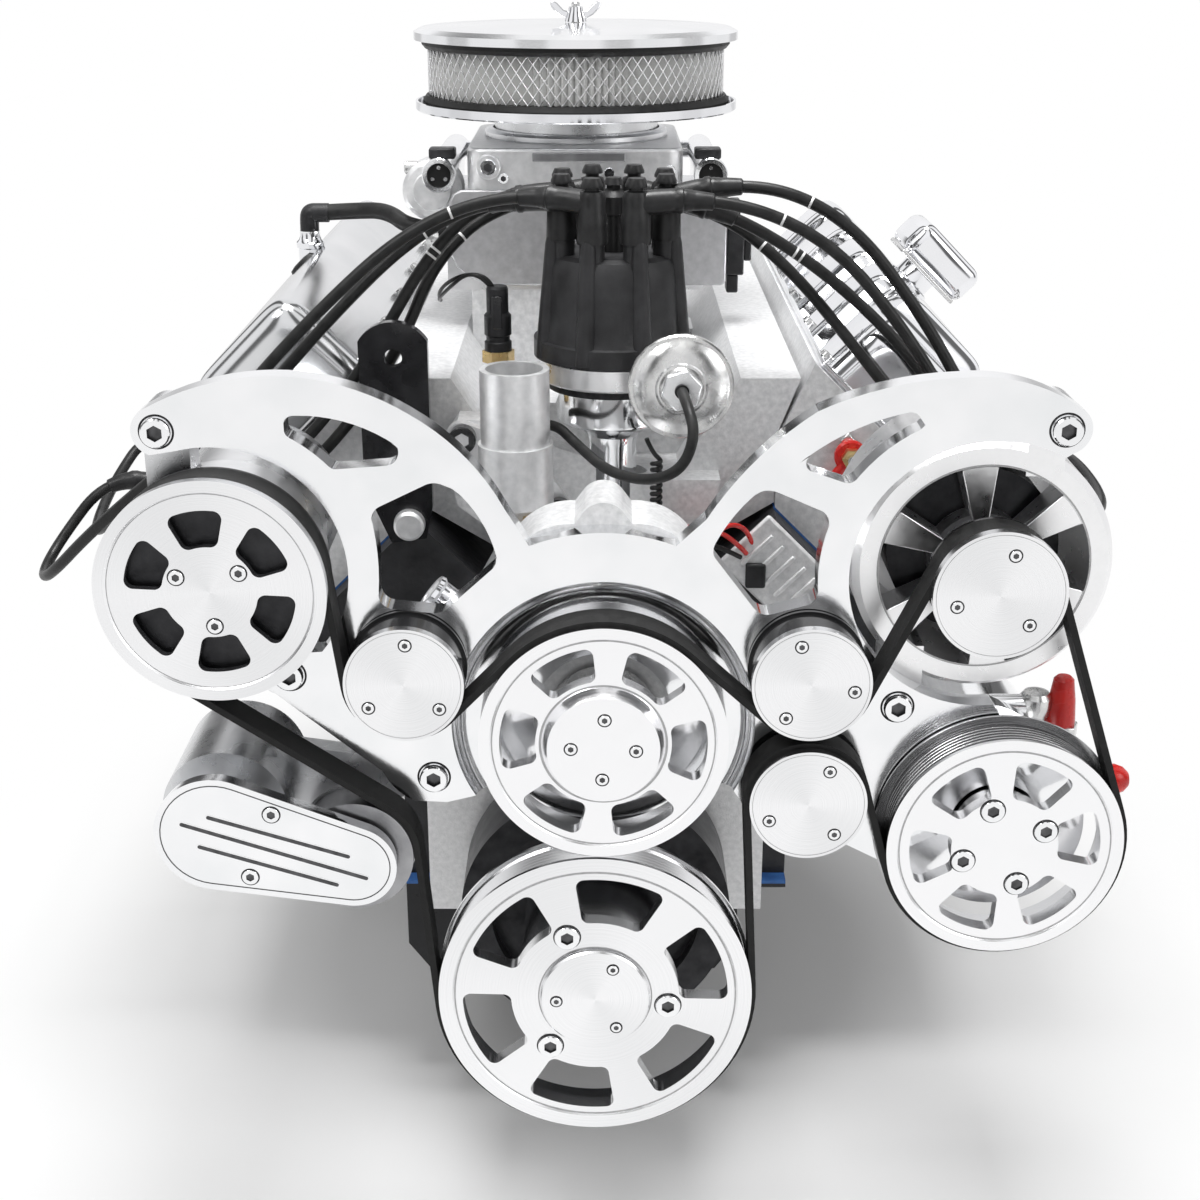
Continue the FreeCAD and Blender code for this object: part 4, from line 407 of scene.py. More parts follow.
def upright(name, profile, material, centre, steps=96, sharp=30):
    """Turns (radius, height) points about the upright axis through a place (x, forward)."""
    return lathe(name, profile, material, *centre, 0, UPWARD, steps, sharp)


def prism(name, outline, start, length, material, place):
    """A straight prism over a flat outline of (x, y), from start along the local Z axis."""
    count = len(outline)
    vertices = [place @ (Vector((x, y, start)) * MM) for x, y in outline]
    vertices += [place @ (Vector((x, y, start + length)) * MM) for x, y in outline]
    faces = [tuple(range(count))[::-1], tuple(range(count, 2 * count))] + wall_faces(count)
    return mesh_piece(name, vertices, faces, material)


def hexagon(name, radius, angle, start, length, material, place):
    """A six-sided prism with its first corner at an angle in degrees."""
    outline = [around((0, 0), radius, 60 * step + angle) for step in range(6)]
    return prism(name, outline, start, length, material, place)


# A socket's reach as a share of its head's radius, and the height of its floor as a share of the head's
SOCKET_REACH = 0.56
SOCKET_FLOOR = 0.35


def socket_screw(name, x, forward, height, radius, tall, material, turn=FRONTWARD):
    """A round head with a hexagon sunk in its top, the socket's walls and floor dark with painted shade."""
    steps = 24
    socket = []
    for step in range(steps):
        angle = 2 * math.pi * step / steps
        fold = (angle + math.pi / 6) % (math.pi / 3) - math.pi / 6
        reach = radius * SOCKET_REACH * math.cos(math.pi / 6) / math.cos(fold)
        socket.append((reach * math.cos(angle), reach * math.sin(angle)))
    circle = [(math.cos(2 * math.pi * i / steps), math.sin(2 * math.pi * i / steps)) for i in range(steps)]
    edge = min(0.8, tall * 0.2)
    levels = [
        [(cx * radius, cy * radius, 0) for cx, cy in circle],
        [(cx * radius, cy * radius, tall - edge) for cx, cy in circle],
        [(cx * (radius - edge), cy * (radius - edge), tall) for cx, cy in circle],
        [(hx, hy, tall) for hx, hy in socket],
        [(hx, hy, tall * SOCKET_FLOOR) for hx, hy in socket],
    ]
    faces = [face for level in range(len(levels) - 1) for face in wall_faces(steps, level)]
    last = (len(levels) - 1) * steps
    faces.append(tuple(range(last, last + steps)))
    place = place_at(x, forward, height, turn)
    screw = mesh_piece(name, [place @ (Vector(v) * MM) for level in levels for v in level], faces, material, 30)
    screw.data.materials.append(SOCKET_SHADE)
    for polygon in screw.data.polygons[3 * steps:]:
        polygon.material_index = 1
    return screw


def ring(name, x, height, forward, radius, width, material, tall=0.12):
    """A thin flat ring of painted shade on a face that looks forward, at a rim or round a screw."""
    inner, outer = radius - width / 2, radius + width / 2
    return lathe(name, [(inner, -0.2), (inner, tall), (outer, tall), (outer, -0.2)], material, x, forward, height)


def tube(name, points, radius, material):
    """A round cord through (x, forward, height) points, as a curve of order three."""
    curve = bpy.data.curves.new(name, "CURVE")
    curve.dimensions = "3D"
    line = curve.splines.new("NURBS")
    line.points.add(len(points) - 1)
    for point, place in zip(line.points, points):
        point.co = (*spot(*place), 1)
    line.order_u = 3
    line.use_endpoint_u = True
    line.resolution_u = 12
    curve.bevel_depth = radius * MM
    curve.bevel_resolution = 6
    curve.use_fill_caps = True
    curve.materials.append(material)
    obj = bpy.data.objects.new(name, curve)
    bpy.context.scene.collection.objects.link(obj)
    return obj


def part_box(name, low, high, material, edge=0.8):
    """A block between two corners given as (x, forward, height), with softened edges."""
    x0, f0, z0 = low
    x1, f1, z1 = high
    outline = [(x0, f0), (x0, f1), (x1, f1), (x1, f0)]
    vertices = [spot(x, f, z0) for x, f in outline] + [spot(x, f, z1) for x, f in outline]
    faces = [(0, 1, 2, 3), (7, 6, 5, 4), (0, 4, 5, 1), (1, 5, 6, 2), (2, 6, 7, 3), (3, 7, 4, 0)]
    return soften(mesh_piece(name, vertices, faces, material), edge)


def put(pieces, body, *nodes):
    """Rides pieces on a body, in place of the named nodes if any."""
    for piece in pieces:
        if nodes:
            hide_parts(*nodes)
        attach(piece, body)


# Front drive details

# Screws of a wheel: name, centre, circle, their angles, the face they stand on, radius and height
SCREWS = [
    ("crank_train", CRANK, 45.5, [112, -8, -128], FACE - 1, 7.7, 2.4),
    ("crank_cap", CRANK, 24.0, [63, 183, 303], FACE + 3, 3.1, 0.5),
    ("water_pump_rotor", WATER, 19.0, [88, 178, 268, 358], FACE + 7, 3.3, 0.5),
    ("steering_wheel", STEERING, 26.0, [110, 25, 200, 290], FACE - 1, 6.9, 1.6),
    ("compressor_wheel", COMPRESSOR, 20.5, [154, 34, -86], FACE + 2, 4.2, 0.8),
    ("alternator_wheel", ALTERNATOR, 25.0, [75, 195, 315], FACE + 3, 3.2, 0.5),
    *[("idler_wheel_" + name, IDLERS["idler_" + name], 25.0, angles, FACE + 3, 3.2, 0.5) for name, angles in (
        ("left", [86, 214, 324]), ("upper", [106, 351, 235]), ("lower", [62, 204, 310]))],
]

# Rings of painted shade at the edges of rims and caps: body, centre, the face, radius and width
SHADE_RINGS = [
    ("crank_train", CRANK, FACE - 1, 87.0, 1.5), ("crank_train", CRANK, FACE - 1, 34.9, 0.9),
    ("water_pump_rotor", WATER, FACE - 1, 65.7, 1.4), ("water_pump_rotor", WATER, FACE - 1, 37.4, 0.9),
    ("steering_wheel", STEERING, FACE - 1, 63.4, 1.4), ("compressor_wheel", COMPRESSOR, FACE + 2, 58.6, 1.1),
    ("engine", ALTERNATOR, 754.6, 62.6, 1.0),
    ("alternator_wheel", ALTERNATOR, FACE + 3, 36.4, 0.35),
    *[("idler_wheel_" + name, IDLERS["idler_" + name], FACE + 3, 33.0, 0.35) for name in ("left", "upper", "lower")],
]

# The bolts on the bracket's front and the two screws of the tensioner's arm, as (x, height), then its three
# grooves from end to end
BRACKET_FRONT = 771
BRACKET_BOLTS = [(-247, 353), (266, 354), (-97.5, 137), (180.5, 183.5), (-181, 204)]
ARM_FRONT = 810
ARM_SCREWS = [(-190, 131.7), (-205, 90.3)]
GROOVES = [((-227.1, 129.8), (-146.2, 103.9)), ((-243.1, 125.2), (-136.1, 89.3)), ((-233.7, 110.4), (-153.8, 84.9))]


def add_screws():
    """Round head screws on the wheels' faces, each ringed by a near-black ring of painted shade, and rings of painted
    shade at the edges of caps and rims.
    """
    for wheel, centre, circle, angles, forward, radius, tall in SCREWS:
        body = "crank_train" if wheel == "crank_cap" else wheel
        for index, angle in enumerate(angles):
            x, z = around(centre, circle, angle)
            label = "%s_%d" % (wheel, index)
            screw = socket_screw("screw_" + label, x, forward, z, radius, tall, POLISHED)
            nodes = ["crank_pulley_cap"] if wheel == "crank_train" else []
            put([screw], body, *nodes)
            put([ring("screw_shade_ring_" + label, x, z, forward, radius + 0.45, 0.8, SHADE_LINE)], body)
    for index, (body, centre, forward, radius, width) in enumerate(SHADE_RINGS):
        put([ring("seam_%d" % index, *centre, forward, radius, width, LIP_SHADE)], body)
    for index, (x, z) in enumerate(ARM_SCREWS):
        put([socket_screw("screw_arm_%d" % index, x, ARM_FRONT, z, 4.8, 0.8, POLISHED),
             ring("screw_arm_gap_%d" % index, x, z, ARM_FRONT, 5.2, 0.8, SHADE_LINE)], "tensioner_swing")
    for index, (x, z) in enumerate(BRACKET_BOLTS):
        bolt = socket_screw("bracket_bolt_%d" % index, x, BRACKET_FRONT, z, 8.6, 4.4, POLISHED)
        put([bolt], "engine", "bracket_bolts")
        put([ring("bracket_bolt_gap_%d" % index, x, z, BRACKET_FRONT, 9.6, 1.2, SHADE_LINE)], "engine")


def arm_outline(shrink, steps=24):
    """The tensioner cover's outline: two rounds joined by straight sides."""
    away = Vector(TENSIONER_WHEEL) - Vector(TENSIONER)
    lean = math.degrees(math.atan2(away.y, away.x))
    spread_angle = 90 - math.degrees(math.asin(10 / away.length))
    points = [around(TENSIONER, 36.3 - shrink, lean + spread_angle + (360 - 2 * spread_angle) * step / steps)
              for step in range(steps + 1)]
    points += [around(TENSIONER_WHEEL, 26.3 - shrink, lean - spread_angle + 2 * spread_angle * step / steps)
               for step in range(steps + 1)]
    return points


def add_face_details():
    """The crank cap, and the tensioner cover's inset line and three grooves as flat strips, dark with painted shade.
    """
    cap = lathe("crank_cap", [(0, 0), (33.4, 0), (34, 0.6), (34, 2.6), (33, 3.8), (0, 4)], CAP_METAL, CRANK[0],
                FACE - 1, CRANK[1])
    put([cap], "crank_train", "crank_pulley_cap")
    outer, inner = arm_outline(3.6), arm_outline(4.3)
    pieces = [mesh_piece("arm_line_shade", [spot(x, ARM_FRONT + 0.1, z) for x, z in outer + inner], wall_faces(len(outer)),
                         SOCKET_SHADE)]
    for index, (start, end) in enumerate(GROOVES):
        way = Vector(end) - Vector(start)
        lean = math.degrees(math.atan2(way.y, way.x))
        for label, half, proud, material in (("edge", 1.9, 0.05, POLISHED), ("groove", 1.2, 0.15, SOCKET_SHADE)):
            points = [around(end, half, lean - 90 + 22.5 * step) for step in range(9)]
            points += [around(start, half, lean + 90 + 22.5 * step) for step in range(9)]
            pieces.append(mesh_piece("arm_%s_%d" % (label, index), [spot(x, ARM_FRONT + proud, z) for x, z in points],
                                     [tuple(range(len(points)))], material))
    put(pieces, "tensioner_swing")


# Inside corners of the bracket's windows: the corner, a point along each side, and the radius
WINDOW_CORNERS = [
    ((-112, 345), (-140, 358), (-107, 334), 8), ((-107, 334), (-112, 345), (-149, 331), 8),
    ((-149.1, 330.9), (-107, 334), (-155, 337.6), 5), ((-174.9, 351), (-166, 346.2), (-175, 362), 5),
    ((-175, 362), (-175, 351), (-158, 362.5), 5),
    ((-129, 306), (-92, 324), (-127, 292), 9), ((-92, 324), (-129, 306), (-80, 319), 12),
    ((-80, 319), (-92, 324), (-72, 309), 12), ((-56, 274), (-59, 284), (-90, 243), 8),
    ((-90, 243), (-56, 274), (-127, 247), 12), ((-127, 247), (-90, 243), (-125.6, 260), 9),
    ((114, 333), (128, 343), (146.5, 321.6), 5), ((180, 365), (166, 362), (186, 357), 6),
    ((146.5, 321.6), (114, 333), (152, 329.8), 6),
    ((67, 281), (73, 293), (97, 241), 8), ((95, 319), (87, 311), (103, 318), 10),
    ((103, 318), (95, 319), (136.7, 303.3), 14), ((136.7, 303.3), (103, 318), (133, 294), 8),
    ((130.7, 250.4), (129.4, 262), (97, 241), 9), ((97, 241), (130.7, 250.4), (67, 281), 10),
]


def add_window_corners():
    """Rounds the bracket windows' inside corners with small webs in the plate's thickness."""
    webs = []
    for index, (corner, first, second, radius) in enumerate(WINDOW_CORNERS):
        corner = Vector(corner)
        first_way, second_way = (Vector(first) - corner).normalized(), (Vector(second) - corner).normalized()
        half = first_way.angle(second_way) / 2
        centre = corner + (first_way + second_way).normalized() * radius / math.sin(half)
        reach = radius / math.tan(half)
        start, end = corner + first_way * reach, corner + second_way * reach
        points = [corner - (first_way + second_way).normalized() * 0.6, start]
        for step in range(1, 8):
            between = (start - centre) * (1 - step / 8) + (end - centre) * step / 8
            points.append(centre + between.normalized() * radius)
        points.append(end)
        webs.append(prism("window_corner_%d" % index, [tuple(point) for point in points], 0.02, 15.96, POLISHED,
                          place_at(0, BRACKET_FRONT - 16, 0)))
    put(webs, "engine")


# Where the wires end: the circle and height of the cap's towers, then the plugs' places
TOWER_CIRCLE = 37
TOWER_TOP = 451.5
FIRST_PLUG = 63.75
BORE_PITCH = 124.5
BANK_OFFSET = 22
PLUG_X = 326.5
PLUG_HEIGHT = 217.55

# One plug wire a row, by side and cylinder: its tower's angle on the cap, then the points between its boots
WIRE_ROUTES = {
    (-1, 1): (247.5, [(-60, 514, 446), (-108, 536, 410), (-132, 556, 352), (-180, 560, 284), (-250, 560, 226),
                      (-322, 540, 186), (-346, 440, 180), (-350, 320, 184), (-352, 200, 190), (-358, 100, 236)]),
    (-1, 2): (202.5, [(-72, 533, 450), (-112, 548, 414), (-150, 562, 350), (-196, 566, 290), (-262, 566, 236),
                      (-330, 540, 206), (-350, 440, 200), (-352, 330, 204), (-360, 226, 238)]),
    (-1, 3): (157.5, [(-62, 547, 452), (-118, 553, 430), (-182, 566, 370), (-246, 572, 298), (-330, 556, 240),
                      (-372, 500, 196), (-382, 400, 206), (-362, 338, 238)]),
    (-1, 4): (112.5, [(-46, 559, 458), (-118, 567, 438), (-190, 580, 376), (-258, 586, 302), (-344, 566, 232),
                      (-404, 530, 170), (-412, 470, 176), (-364, 446, 236)]),
    (1, 1): (292.5, [(80, 516, 440), (130, 530, 404), (176, 554, 352), (222, 566, 296), (296, 558, 222),
                     (346, 490, 188), (350, 370, 186), (352, 240, 190), (360, 130, 236)]),
    (1, 2): (337.5, [(84, 538, 442), (140, 543, 412), (196, 552, 366), (236, 562, 318), (306, 560, 246),
                     (352, 500, 214), (356, 380, 214), (362, 256, 238)]),
    (1, 3): (67.5, [(74, 576, 458), (150, 584, 432), (206, 590, 368), (248, 598, 300), (318, 588, 240),
                    (374, 520, 226), (364, 376, 240)]),
    (1, 4): (22.5, [(92, 560, 466), (160, 569, 446), (214, 578, 382), (254, 586, 314), (322, 572, 252),
                    (362, 500, 246)]),
}
VACUUM_HOSE = [(55, 640.3, 343), (57, 664, 342), (62, 680, 326), (54, 682, 304), (34, 668, 292), (8, 640, 290),
               (-12, 604, 298), (-28.7, 580.7, 308), (-42, 566.3, 300)]
BREATHER_HOSE = [(-220.4, 300, 404), (-192, 302, 406), (-164, 322, 409), (-144, 344, 398), (-114.8, 345, 397)]
# Boots as (distance along the wire from its end, radius), and the upright part of the cap's as (radius, height)
BOOT = [(-2, 7.0), (0, 8.0), (26, 7.8), (27, 8.4), (30, 8.4), (31, 7.4), (33, 7.4), (34, 6.9), (36, 6.9), (37, 6.4),
        (39, 6.4), (50, 5.4), (51, 4.2)]
BOOT_TOP = [(0, 426), (9.9, 426), (10.3, 428), (9.7, 444), (8.9, 446), (8.9, 456), (7.6, 459.4), (4.6, 460.2),
            (4.6, 462), (7, 462.4), (7, 464), (5.2, 468), (0, 468.4)]
PLUG_BOOT = [(-46, 4.2), (-45, 5.4), (-30, 6.8), (-28, 7.6), (-24, 7.6), (-22, 6.9), (0, 6.9)]


def route_line(curve):
    """Points of a curve's own smooth line, without its thickness."""
    depth = curve.data.bevel_depth
    curve.data.bevel_depth = 0
    mesh = bpy.data.meshes.new_from_object(curve)
    curve.data.bevel_depth = depth
    line = [vertex.co.copy() for vertex in mesh.vertices]
    bpy.data.meshes.remove(mesh)
    return line


def line_length(line):
    """The length of a line in millimetres."""
    return sum((second - first).length for first, second in zip(line, line[1:])) / MM


def station(line, distance):
    """The point and direction at a distance in millimetres along a line."""
    left = distance * MM
    for first, second in zip(line, line[1:]):
        length = (second - first).length
        way = (second - first).normalized()
        if left <= length or second is line[-1]:
            return first + way * left, way
        left -= length


def sleeve(name, line, start, spans, material, steps=20, pitch=4.0):
    """A round sleeve along a line; spans are (distance from start, radius) pairs."""
    stations = [spans[0]]
    for (near, first), (far, second) in zip(spans, spans[1:]):
        parts = max(1, math.ceil((far - near) / pitch))
        stations += [(near + (far - near) * part / parts, first + (second - first) * part / parts)
                     for part in range(1, parts + 1)]
    vertices = []
    side = None
    for distance, radius in stations:
        centre, way = station(line, start + distance)
        side = way.orthogonal() if side is None else side - way * side.dot(way)
        side.normalize()
        other = way.cross(side)
        for step in range(steps):
            angle = 2 * math.pi * step / steps
            vertices.append(centre + (side * math.cos(angle) + other * math.sin(angle)) * radius * MM)
    last = (len(stations) - 1) * steps
    faces = [tuple(range(steps))[::-1], tuple(range(last, last + steps))]
    for level in range(len(stations) - 1):
        faces += wall_faces(steps, level)
    return mesh_piece(name, vertices, faces, material, 40)


def add_wires():
    """The plug wires with their boots and marks, and the vacuum and PCV hoses."""
    pieces = []
    for (side, cylinder), (angle, points) in WIRE_ROUTES.items():
        label = "%s_%d" % (HANDS[side], cylinder)
        tower = around(DISTRIBUTOR, TOWER_CIRCLE, angle)
        plug_forward = FIRST_PLUG + BORE_PITCH * (cylinder - 1) + (BANK_OFFSET if side > 0 else 0)
        route = [(*tower, TOWER_TOP), *points, (side * PLUG_X, plug_forward, PLUG_HEIGHT)]
        wire = tube("plug_wire_" + label, route, 4, WIRE)
        line = route_line(wire)
        length = line_length(line)
        pieces += [wire, sleeve("tower_boot_" + label, line, 0, BOOT, BOOT_RUBBER),
                   sleeve("plug_boot_" + label, line, length, PLUG_BOOT, BOOT_RUBBER),
                   upright("boot_top_" + label, BOOT_TOP, BOOT_RUBBER, tower, 24, 40)]
        for mark in range(cylinder if cylinder < 3 else 1):
            pieces.append(sleeve("wire_mark_%s_%d" % (label, mark), line, 96 + 5 * mark, [(0, 4.15), (1.6, 4.15)],
                                 WIRE_MARK))
    put(pieces, "engine", "plug_wires")
    vacuum = tube("vacuum_hose", VACUUM_HOSE, 3.5, HOSE)
    breathing = tube("pcv_hose", BREATHER_HOSE, 6.5, HOSE)
    line = route_line(breathing)
    clamp = sleeve("pcv_hose_clamp", line, line_length(line) - 14, [(0, 7.1), (7, 7.1)], STEEL, 32)
    put([vacuum, breathing, clamp], "engine", "small_hoses")


# Air cleaner

def add_air_cleaner():
    """The element's seals, pleats and wire mesh, and the stud with its wing nut."""
    x, forward = CARB
    low, high = 486.4, 536.6
    seals = [
        upright("element_seal_low", [(103, low), (121, low), (121, low + 4), (118.5, low + 8), (103, low + 8)],
                HOSE, CARB, 128),
        upright("element_seal_high", [(103, high - 7), (118.5, high - 7), (121, high - 4), (121, high), (103, high)],
                HOSE, CARB, 128),
    ]
    folds = 264
    vertices = [spot(*around(CARB, 113.5 if step % 2 else 106.5, 360 * step / folds), level)
                for level in (low + 7.5, high - 6.5) for step in range(folds)]
    element = mesh_piece("element_pleats", vertices, wall_faces(folds), PAPER, 20)
    rows = 6
    cells = 84
    vertices = [spot(*around(CARB, 116, 360 * (step + 0.5 * (row % 2)) / cells),
                     low + 8 + (high - low - 15) * row / rows)
                for row in range(rows + 1) for step in range(cells)]
    faces = []
    for row in range(1, rows):
        for step in range(cells):
            right = step if row % 2 == 0 else (step + 1) % cells
            faces.append((row * cells + step, (row - 1) * cells + right,
                          row * cells + (step + 1) % cells, (row + 1) * cells + right))
    mesh = mesh_piece("element_mesh", vertices, faces, HOUSING, 20)
    wires = mesh.modifiers.new("wires", "WIREFRAME")
    wires.thickness = 1.1 * MM
    wires.use_boundary = True
    put(seals + [element, mesh], "engine", "air_filter_element")
    rod = upright("stud_rod", [(0, 484), (3.2, 484), (3.2, 562), (2.4, 563), (0, 563)], STEEL, CARB, 24)
    put([rod], "engine", "air_cleaner_stud")
    pieces = [upright("nut_hub", [(3.3, 548.5), (8.4, 548.5), (8, 550.5), (5.6, 557), (5.2, 559.6), (3.3, 560)],
                      COVER_CHROME, CARB, 32)]
    for side in (-1, 1):
        ear = [(side * a, b) for a, b in ((4, 550), (8, 550.6), (13.6, 553.6), (18.4, 558.4), (20, 562), (18.4, 564),
                                          (14.6, 562.4), (9.4, 557), (4.6, 556))]
        wing = prism("nut_wing_" + HANDS[side], ear[::side], -1.4, 2.8, COVER_CHROME,
                     place_at(x, forward, 0, FRONTWARD_UP))
        pieces.append(soften(wing, 0.8, 3))
    put(pieces, "wing_nut", "air_cleaner_wing_nut")


# Ignition

def add_distributor():
    """The black cap with its towers and ribs, the silver housing, its clamp and the vacuum can."""
    x, forward = DISTRIBUTOR
    pieces = [upright("cap_body", [(0, 416), (38, 416), (43.5, 414), (46, 409), (47, 400), (48.5, 380), (50, 362),
                      (51, 359.4), (54, 358.6), (54, 346.4), (0, 346.4)], CAP_PLASTIC, DISTRIBUTOR, 128)]
    for step in range(8):
        angle = 22.5 + 45 * step
        tower = around(DISTRIBUTOR, TOWER_CIRCLE, angle)
        pieces.append(upright("cap_tower_%d" % step, [(8.4, 400), (8.2, 430), (0, 430)], CAP_PLASTIC, tower, 32))
        near, far = around(DISTRIBUTOR, 43, angle), around(DISTRIBUTOR, 48.6, angle)
        line = [spot(*near, 428), spot(*near, 424), spot(*far, 352), spot(*far, 347)]
        pieces.append(sleeve("cap_rib_%d" % step, line, 0, [(0, 4.4), (4, 5.4), (74, 7.2), (80, 7.4)], CAP_PLASTIC,
                             24))
    pieces.append(upright("coil_tower", [(9, 410), (8.6, 440), (9.8, 440.5), (9.4, 452), (6, 456), (4.6, 457),
                          (4.6, 459), (6.6, 459.6), (5, 464), (0, 464.4)], BOOT_RUBBER, DISTRIBUTOR, 32))
    pieces.append(upright("cap_vent", [(0, 346.6), (6.4, 346.6), (6.4, 375), (5.6, 378), (2.6, 378.4), (2.6, 376),
                          (0, 376)], CAP_PLASTIC, around(DISTRIBUTOR, 52, 215), 24))
    put(pieces, "engine", "distributor_cap")
    put([
        upright("housing_stem", [(0, 163), (16.5, 163), (16.5, 228), (23, 229), (23, 236), (17, 240), (16.5, 246),
                (16.5, 284), (18, 290), (24, 296), (36, 300), (38.6, 302), (39.4, 304), (39.4, 325),
                (0, 325)], POLISHED, DISTRIBUTOR, 96),
        # Painted shade: the housing's groove is filled with a near-black disc.
        upright("housing_groove_shade", [(0, 324.6), (45, 324.6), (45, 330.4), (0, 330.4)], SHADE_LINE, DISTRIBUTOR, 96),
        upright("housing_bowl", [(0, 330), (48.4, 330), (49.8, 331.4), (49.8, 344.6), (48.4, 346), (0, 346)],
                HOUSING, DISTRIBUTOR, 128),
    ], "engine", "distributor_housing")
    clamp = part_box("distributor_clamp", (x - 6, forward + 14, 229), (x + 34, forward + 30, 236), BLACK_STEEL, 1.5)
    bolt = socket_screw("distributor_clamp_bolt", x + 27, forward + 22, 236, 6, 5, STEEL, UPWARD)
    put([clamp, bolt], "engine")
    can_x, can_height = x + 43, 343
    put([
        lathe("vacuum_can", [
            (0, 1), (20, 1), (27, 3), (32, 6.4), (34, 8.2), (34, 12.2), (33, 13.4), (31, 13.2), (29.6, 14),
            (27, 16.4), (22, 18.2), (17, 19), (15.6, 18.4), (14.4, 18.6), (13, 20.4), (10.6, 21), (0, 21)],
            STEEL, can_x, 615, can_height, FRONTWARD, 96, 24),
        soften(hexagon("vacuum_hex", 14, 15, 0, 6.4, BRUSHED, place_at(can_x, 633, can_height)), 1.4),
        lathe("vacuum_nozzle", [(0, 0), (4.8, 0), (4.6, 2.2), (0, 2.2)], BLACK_PLASTIC, can_x, 639, can_height,
              FRONTWARD, 32),
        part_box("vacuum_arm", (x + 22, 590.5, 336), (x + 33.5, 620, 341), STEEL, 0.6),
    ], "engine", "vacuum_advance")


def add_sensor():
    """The temperature sensor in brass and black, with its two wires."""
    x, forward = -66, 552
    wires = [tube("sensor_wire_%d" % index, [
        (x - 1, forward, 388), (x - 4 - 4 * index, forward + 3, 399), (x - 18 - 2 * index, forward - 2, 402),
        (x - 34, forward - 14, 394 - 5 * index), (x - 44, forward - 40, 380 - 4 * index),
        (x - 46, forward - 90, 366)], 1.3, WIRE) for index in range(2)]
    put(wires, "engine")
    put([
        upright("sensor_stem", [(0, 304.7), (8.6, 304.7), (8.6, 326), (7, 328), (7, 345), (0, 345)], BRASS,
                (x, forward), 32),
        hexagon("sensor_hexagon", 11, 10, 342, 8, BRASS, place_at(x, forward, 0, UPWARD)),
        upright("sensor_body", [(0, 350), (9.2, 350), (9.2, 356), (8, 357), (8, 360), (9.2, 361), (9.2, 374),
                (7.4, 376), (7.4, 392), (6.4, 393.6), (0, 393.6)], BLACK_PLASTIC, (x, forward), 32),
        part_box("sensor_latch", (x - 3.4, forward + 7, 366), (x + 3.4, forward + 9.4, 388), BLACK_GLOSS, 0.6),
    ], "engine", "temperature_sensor")


def add_throttle():
    """The satin front plate, the bright casting under the air horn, tube ends and connectors."""
    plate = [(-102, 432), (-108, 429), (-111.5, 422), (-113, 400), (-112, 386), (-107, 374), (-98, 366), (-84, 361.4),
             (-70, 360), (97, 360), (99.5, 362.5), (99.5, 429.5), (97, 432)]
    deck = []
    for corner_x, corner_y, start in ((52, 80, 0), (-84, 80, 90), (-84, -70, 180), (52, -70, 270)):
        deck += [around((corner_x, corner_y), 14, start + 15 * step) for step in range(7)]
    deck = [(x, -(CARB[1] + y)) for x, y in deck][::-1]
    pieces = [
        soften(prism("throttle_plate", plate, 0, 4, SATIN, place_at(0, 371.3, 0, FRONTWARD_UP)), 1.2),
        soften(prism("throttle_deck", deck, 418.2, 44, CAST_BRIGHT, UPWARD), 2.5, 3),
        upright("throttle_collar", [(64, 462), (72, 462), (73, 463.4), (73, 466.6), (71, 468.4), (66.4, 469)],
                BRUSHED, CARB, 128),
        part_box("throttle_slot", (-48, 369, 452.6), (22, 371.2, 459), GREY, 0.6),
        lathe("throttle_boss", [(0, 0), (9.4, 0), (9.4, 9), (8.4, 10), (0, 10)], CAST_BRIGHT, -81, 366, 449,
              FRONTWARD, 40),
        socket_screw("throttle_boss_screw", -81, 376, 449, 6, 2.6, POLISHED),
    ]
    pieces += [socket_screw("throttle_screw_%d" % index, x, 370, height, 4, 1.6, POLISHED)
               for index, (x, height) in enumerate(((-70, 440), (10, 444), (56, 446)))]
    for side, x in ((-1, -119), (1, 87)):
        label = HANDS[side]
        pieces += [
            lathe("rail_rim_" + label, [(7.6, -6), (12.6, -6), (13, -4), (13, 2), (12.2, 3), (9.2, 3), (8.6, 1.4)],
                  POLISHED, x, 366, 442, FRONTWARD, 48),
            # The rail end's bore, as a dark disc of painted shade
            lathe("rail_bore_shade_" + label, [(0, -6), (9, -6), (9, 0.6), (8.4, 1.2), (0, 1.2)], HOLE_SHADE, x, 366, 442,
                  FRONTWARD, 40),
        ]
        for step in range(3):
            pin_x, pin_z = around((x, 442), 5.6, 90 + 120 * step)
            pieces.append(lathe("rail_pin_%s_%d" % (label, step), [(0, 1), (1.5, 1), (1.5, 1.8), (0, 1.8)], POLISHED,
                                pin_x, 366, pin_z, FRONTWARD, 16))
        middle = x - 2 * side
        pieces.append(part_box("rail_clip_" + label, (middle - 10, 344, 453), (middle + 10, 360, 461), BLACK_PLASTIC,
                               1.5))
    pieces += [
        lathe("throttle_motor", [(0, 0), (20, 0), (23, 3), (23, 30), (20, 33), (15, 34), (14, 36), (0, 36)],
              CAST_BRIGHT, -126, 318, 428, FRONTWARD, 64),
        lathe("throttle_motor_end", [(0, 0), (5, 0), (5, 20), (3.8, 21), (0, 21)], STEEL, -128, 328, 443,
              leaning(-90), 32),
    ]
    connectors = [((100.5, 338, 366), (114, 366, 408)), ((114, 344, 376), (120, 360, 398)),
                  ((103, 340, 408), (111, 358, 422)), ((101, 346, 352), (110, 364, 366))]
    pieces += [part_box("throttle_connector_%d" % index, low, high, BLACK_PLASTIC, 1.4)
               for index, (low, high) in enumerate(connectors)]
    put(pieces, "engine")


